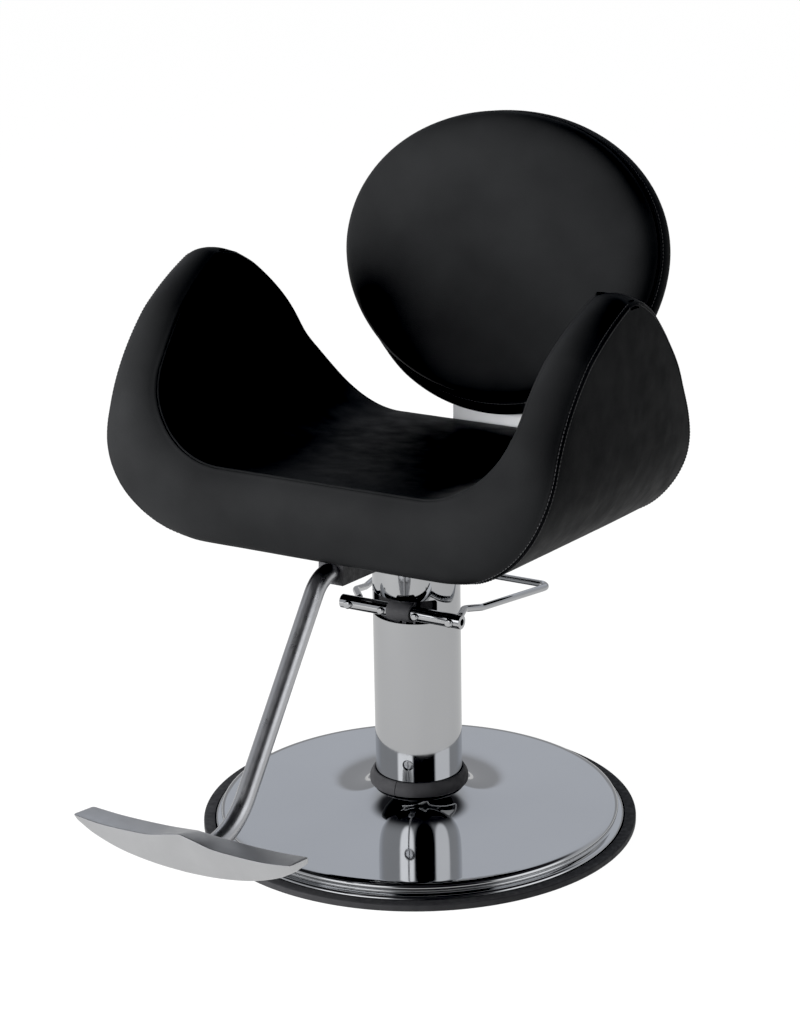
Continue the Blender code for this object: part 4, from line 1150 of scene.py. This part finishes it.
def build_floor():
    """White acrylic floor, lit from within so that it stays white, with a faint shadow."""
    bm = bmesh.new()
    bmesh.ops.create_grid(bm, x_segments=1, y_segments=1, size=60.0)
    floor = place_mesh("floor", bm)
    floor.location.z = -0.0005
    white = Surface("white_acrylic", (0.05, 0.05, 0.05), 0.9, specular=0.0)
    white.shader.inputs["Emission Color"].default_value = (1.0, 1.0, 1.0, 1.0)
    seen = white.node("ShaderNodeLightPath").outputs["Is Camera Ray"]
    white.link(white.spread(seen, FLOOR_GLOW, FLOOR_SEEN, (0.0, 1.0)),
               white.shader.inputs["Emission Strength"])
    floor.data.materials.append(white.material)


def softbox(name, place, size, power):
    """Area light towards the seat, soft on the leather and without a hard spot in the chrome."""
    light = bpy.data.lights.new(name, "AREA")
    light.shape = "RECTANGLE"
    light.size, light.size_y = size
    light.energy = power
    holder = bpy.data.objects.new(name, light)
    holder.location = place
    holder.rotation_euler = (Vector((0, 0, 0.6)) - place).to_track_quat("-Z", "Y").to_euler()
    holder.visible_camera = False
    holder.visible_glossy = False
    bpy.context.scene.collection.objects.link(holder)


def heading(angle, elevation):
    """Direction from the chair; 0 degrees is its front and 90 is +X."""
    flat = around(cos(radians(elevation)), angle, 0)
    return flat + Vector((0, 0, sin(radians(elevation))))


def build_world():
    """Dark studio with bright panels round the chair, low down, which the chrome mirrors."""
    world = bpy.data.worlds.new("studio")
    world.use_nodes = True
    bpy.context.scene.world = world
    tree = world.node_tree
    background = tree.nodes["Background"]
    place = tree.nodes.new("ShaderNodeTexCoord").outputs["Generated"]

    def toward(direction, start, end):
        """0 to 1 as the view turns towards a direction, from cosine start to cosine end."""
        dot = new_node(tree, "ShaderNodeVectorMath")
        dot.operation = "DOT_PRODUCT"
        dot.inputs[1].default_value = Vector(direction).normalized()
        tree.links.new(place, dot.inputs[0])
        ramp = new_node(tree, "ShaderNodeMapRange")
        ramp.interpolation_type = "SMOOTHSTEP"
        ramp.inputs["From Min"].default_value = start
        ramp.inputs["From Max"].default_value = end
        tree.links.new(dot.outputs["Value"], ramp.inputs["Value"])
        return ramp.outputs["Result"]

    def both(first, second):
        product = new_node(tree, "ShaderNodeMath")
        product.operation = "MULTIPLY"
        tree.links.new(first, product.inputs[0])
        tree.links.new(second, product.inputs[1])
        return product.outputs["Value"]

    def mixed(factor, first, second):
        mix = new_node(tree, "ShaderNodeMix")
        mix.data_type = "RGBA"
        for index, value in ((6, first), (7, second)):
            if isinstance(value, tuple):
                mix.inputs[index].default_value = (*value, 1.0)
            else:
                tree.links.new(value, mix.inputs[index])
        tree.links.new(factor, mix.inputs["Factor"])
        return mix.outputs[2]

    sky = mixed(toward((0, 0, 1), 0.55, 0.80), (0.50, 0.51, 0.53), (0.03, 0.03, 0.032))
    sky = mixed(toward(heading(43, 22), 0.84, 0.92), sky, (0.02, 0.02, 0.021))
    sky = mixed(toward(heading(-8, 23), 0.925, 0.965), sky, (1.70, 1.71, 1.74))
    sky = mixed(toward(heading(96, 23), 0.910, 0.955), sky, (1.20, 1.21, 1.24))
    rear = toward(heading(210, 0), 0.35, 0.75)
    sky = mixed(rear, sky, (0.36, 0.365, 0.38))
    panel = both(rear, toward((0, 0, 1), 0.29, 0.34))
    sky = mixed(panel, sky, (0.58, 0.605, 0.655))
    sky = mixed(toward((0, 0, 1), 0.66, 0.80), sky, (0.03, 0.03, 0.032))
    tree.links.new(sky, background.inputs["Color"])
    background.inputs["Strength"].default_value = 1.0


def build_studio():
    build_camera()
    build_floor()
    build_world()
    softbox("key", around(3.0, -40, 0.85), (2.4, 1.5), 600)
    softbox("fill", around(3.2, 62, 1.1), (1.8, 1.4), 75)
    view = bpy.context.scene.view_settings
    view.view_transform = "Standard"
    view.use_curve_mapping = True
    view.curve_mapping.black_level = (BLACK_POINT,) * 3
    view.curve_mapping.update()


finish_frame()
build_studio()
build_base()
build_sleeve()
build_lever()
build_footrest()
build_seat()
build_back()
build_bracket()
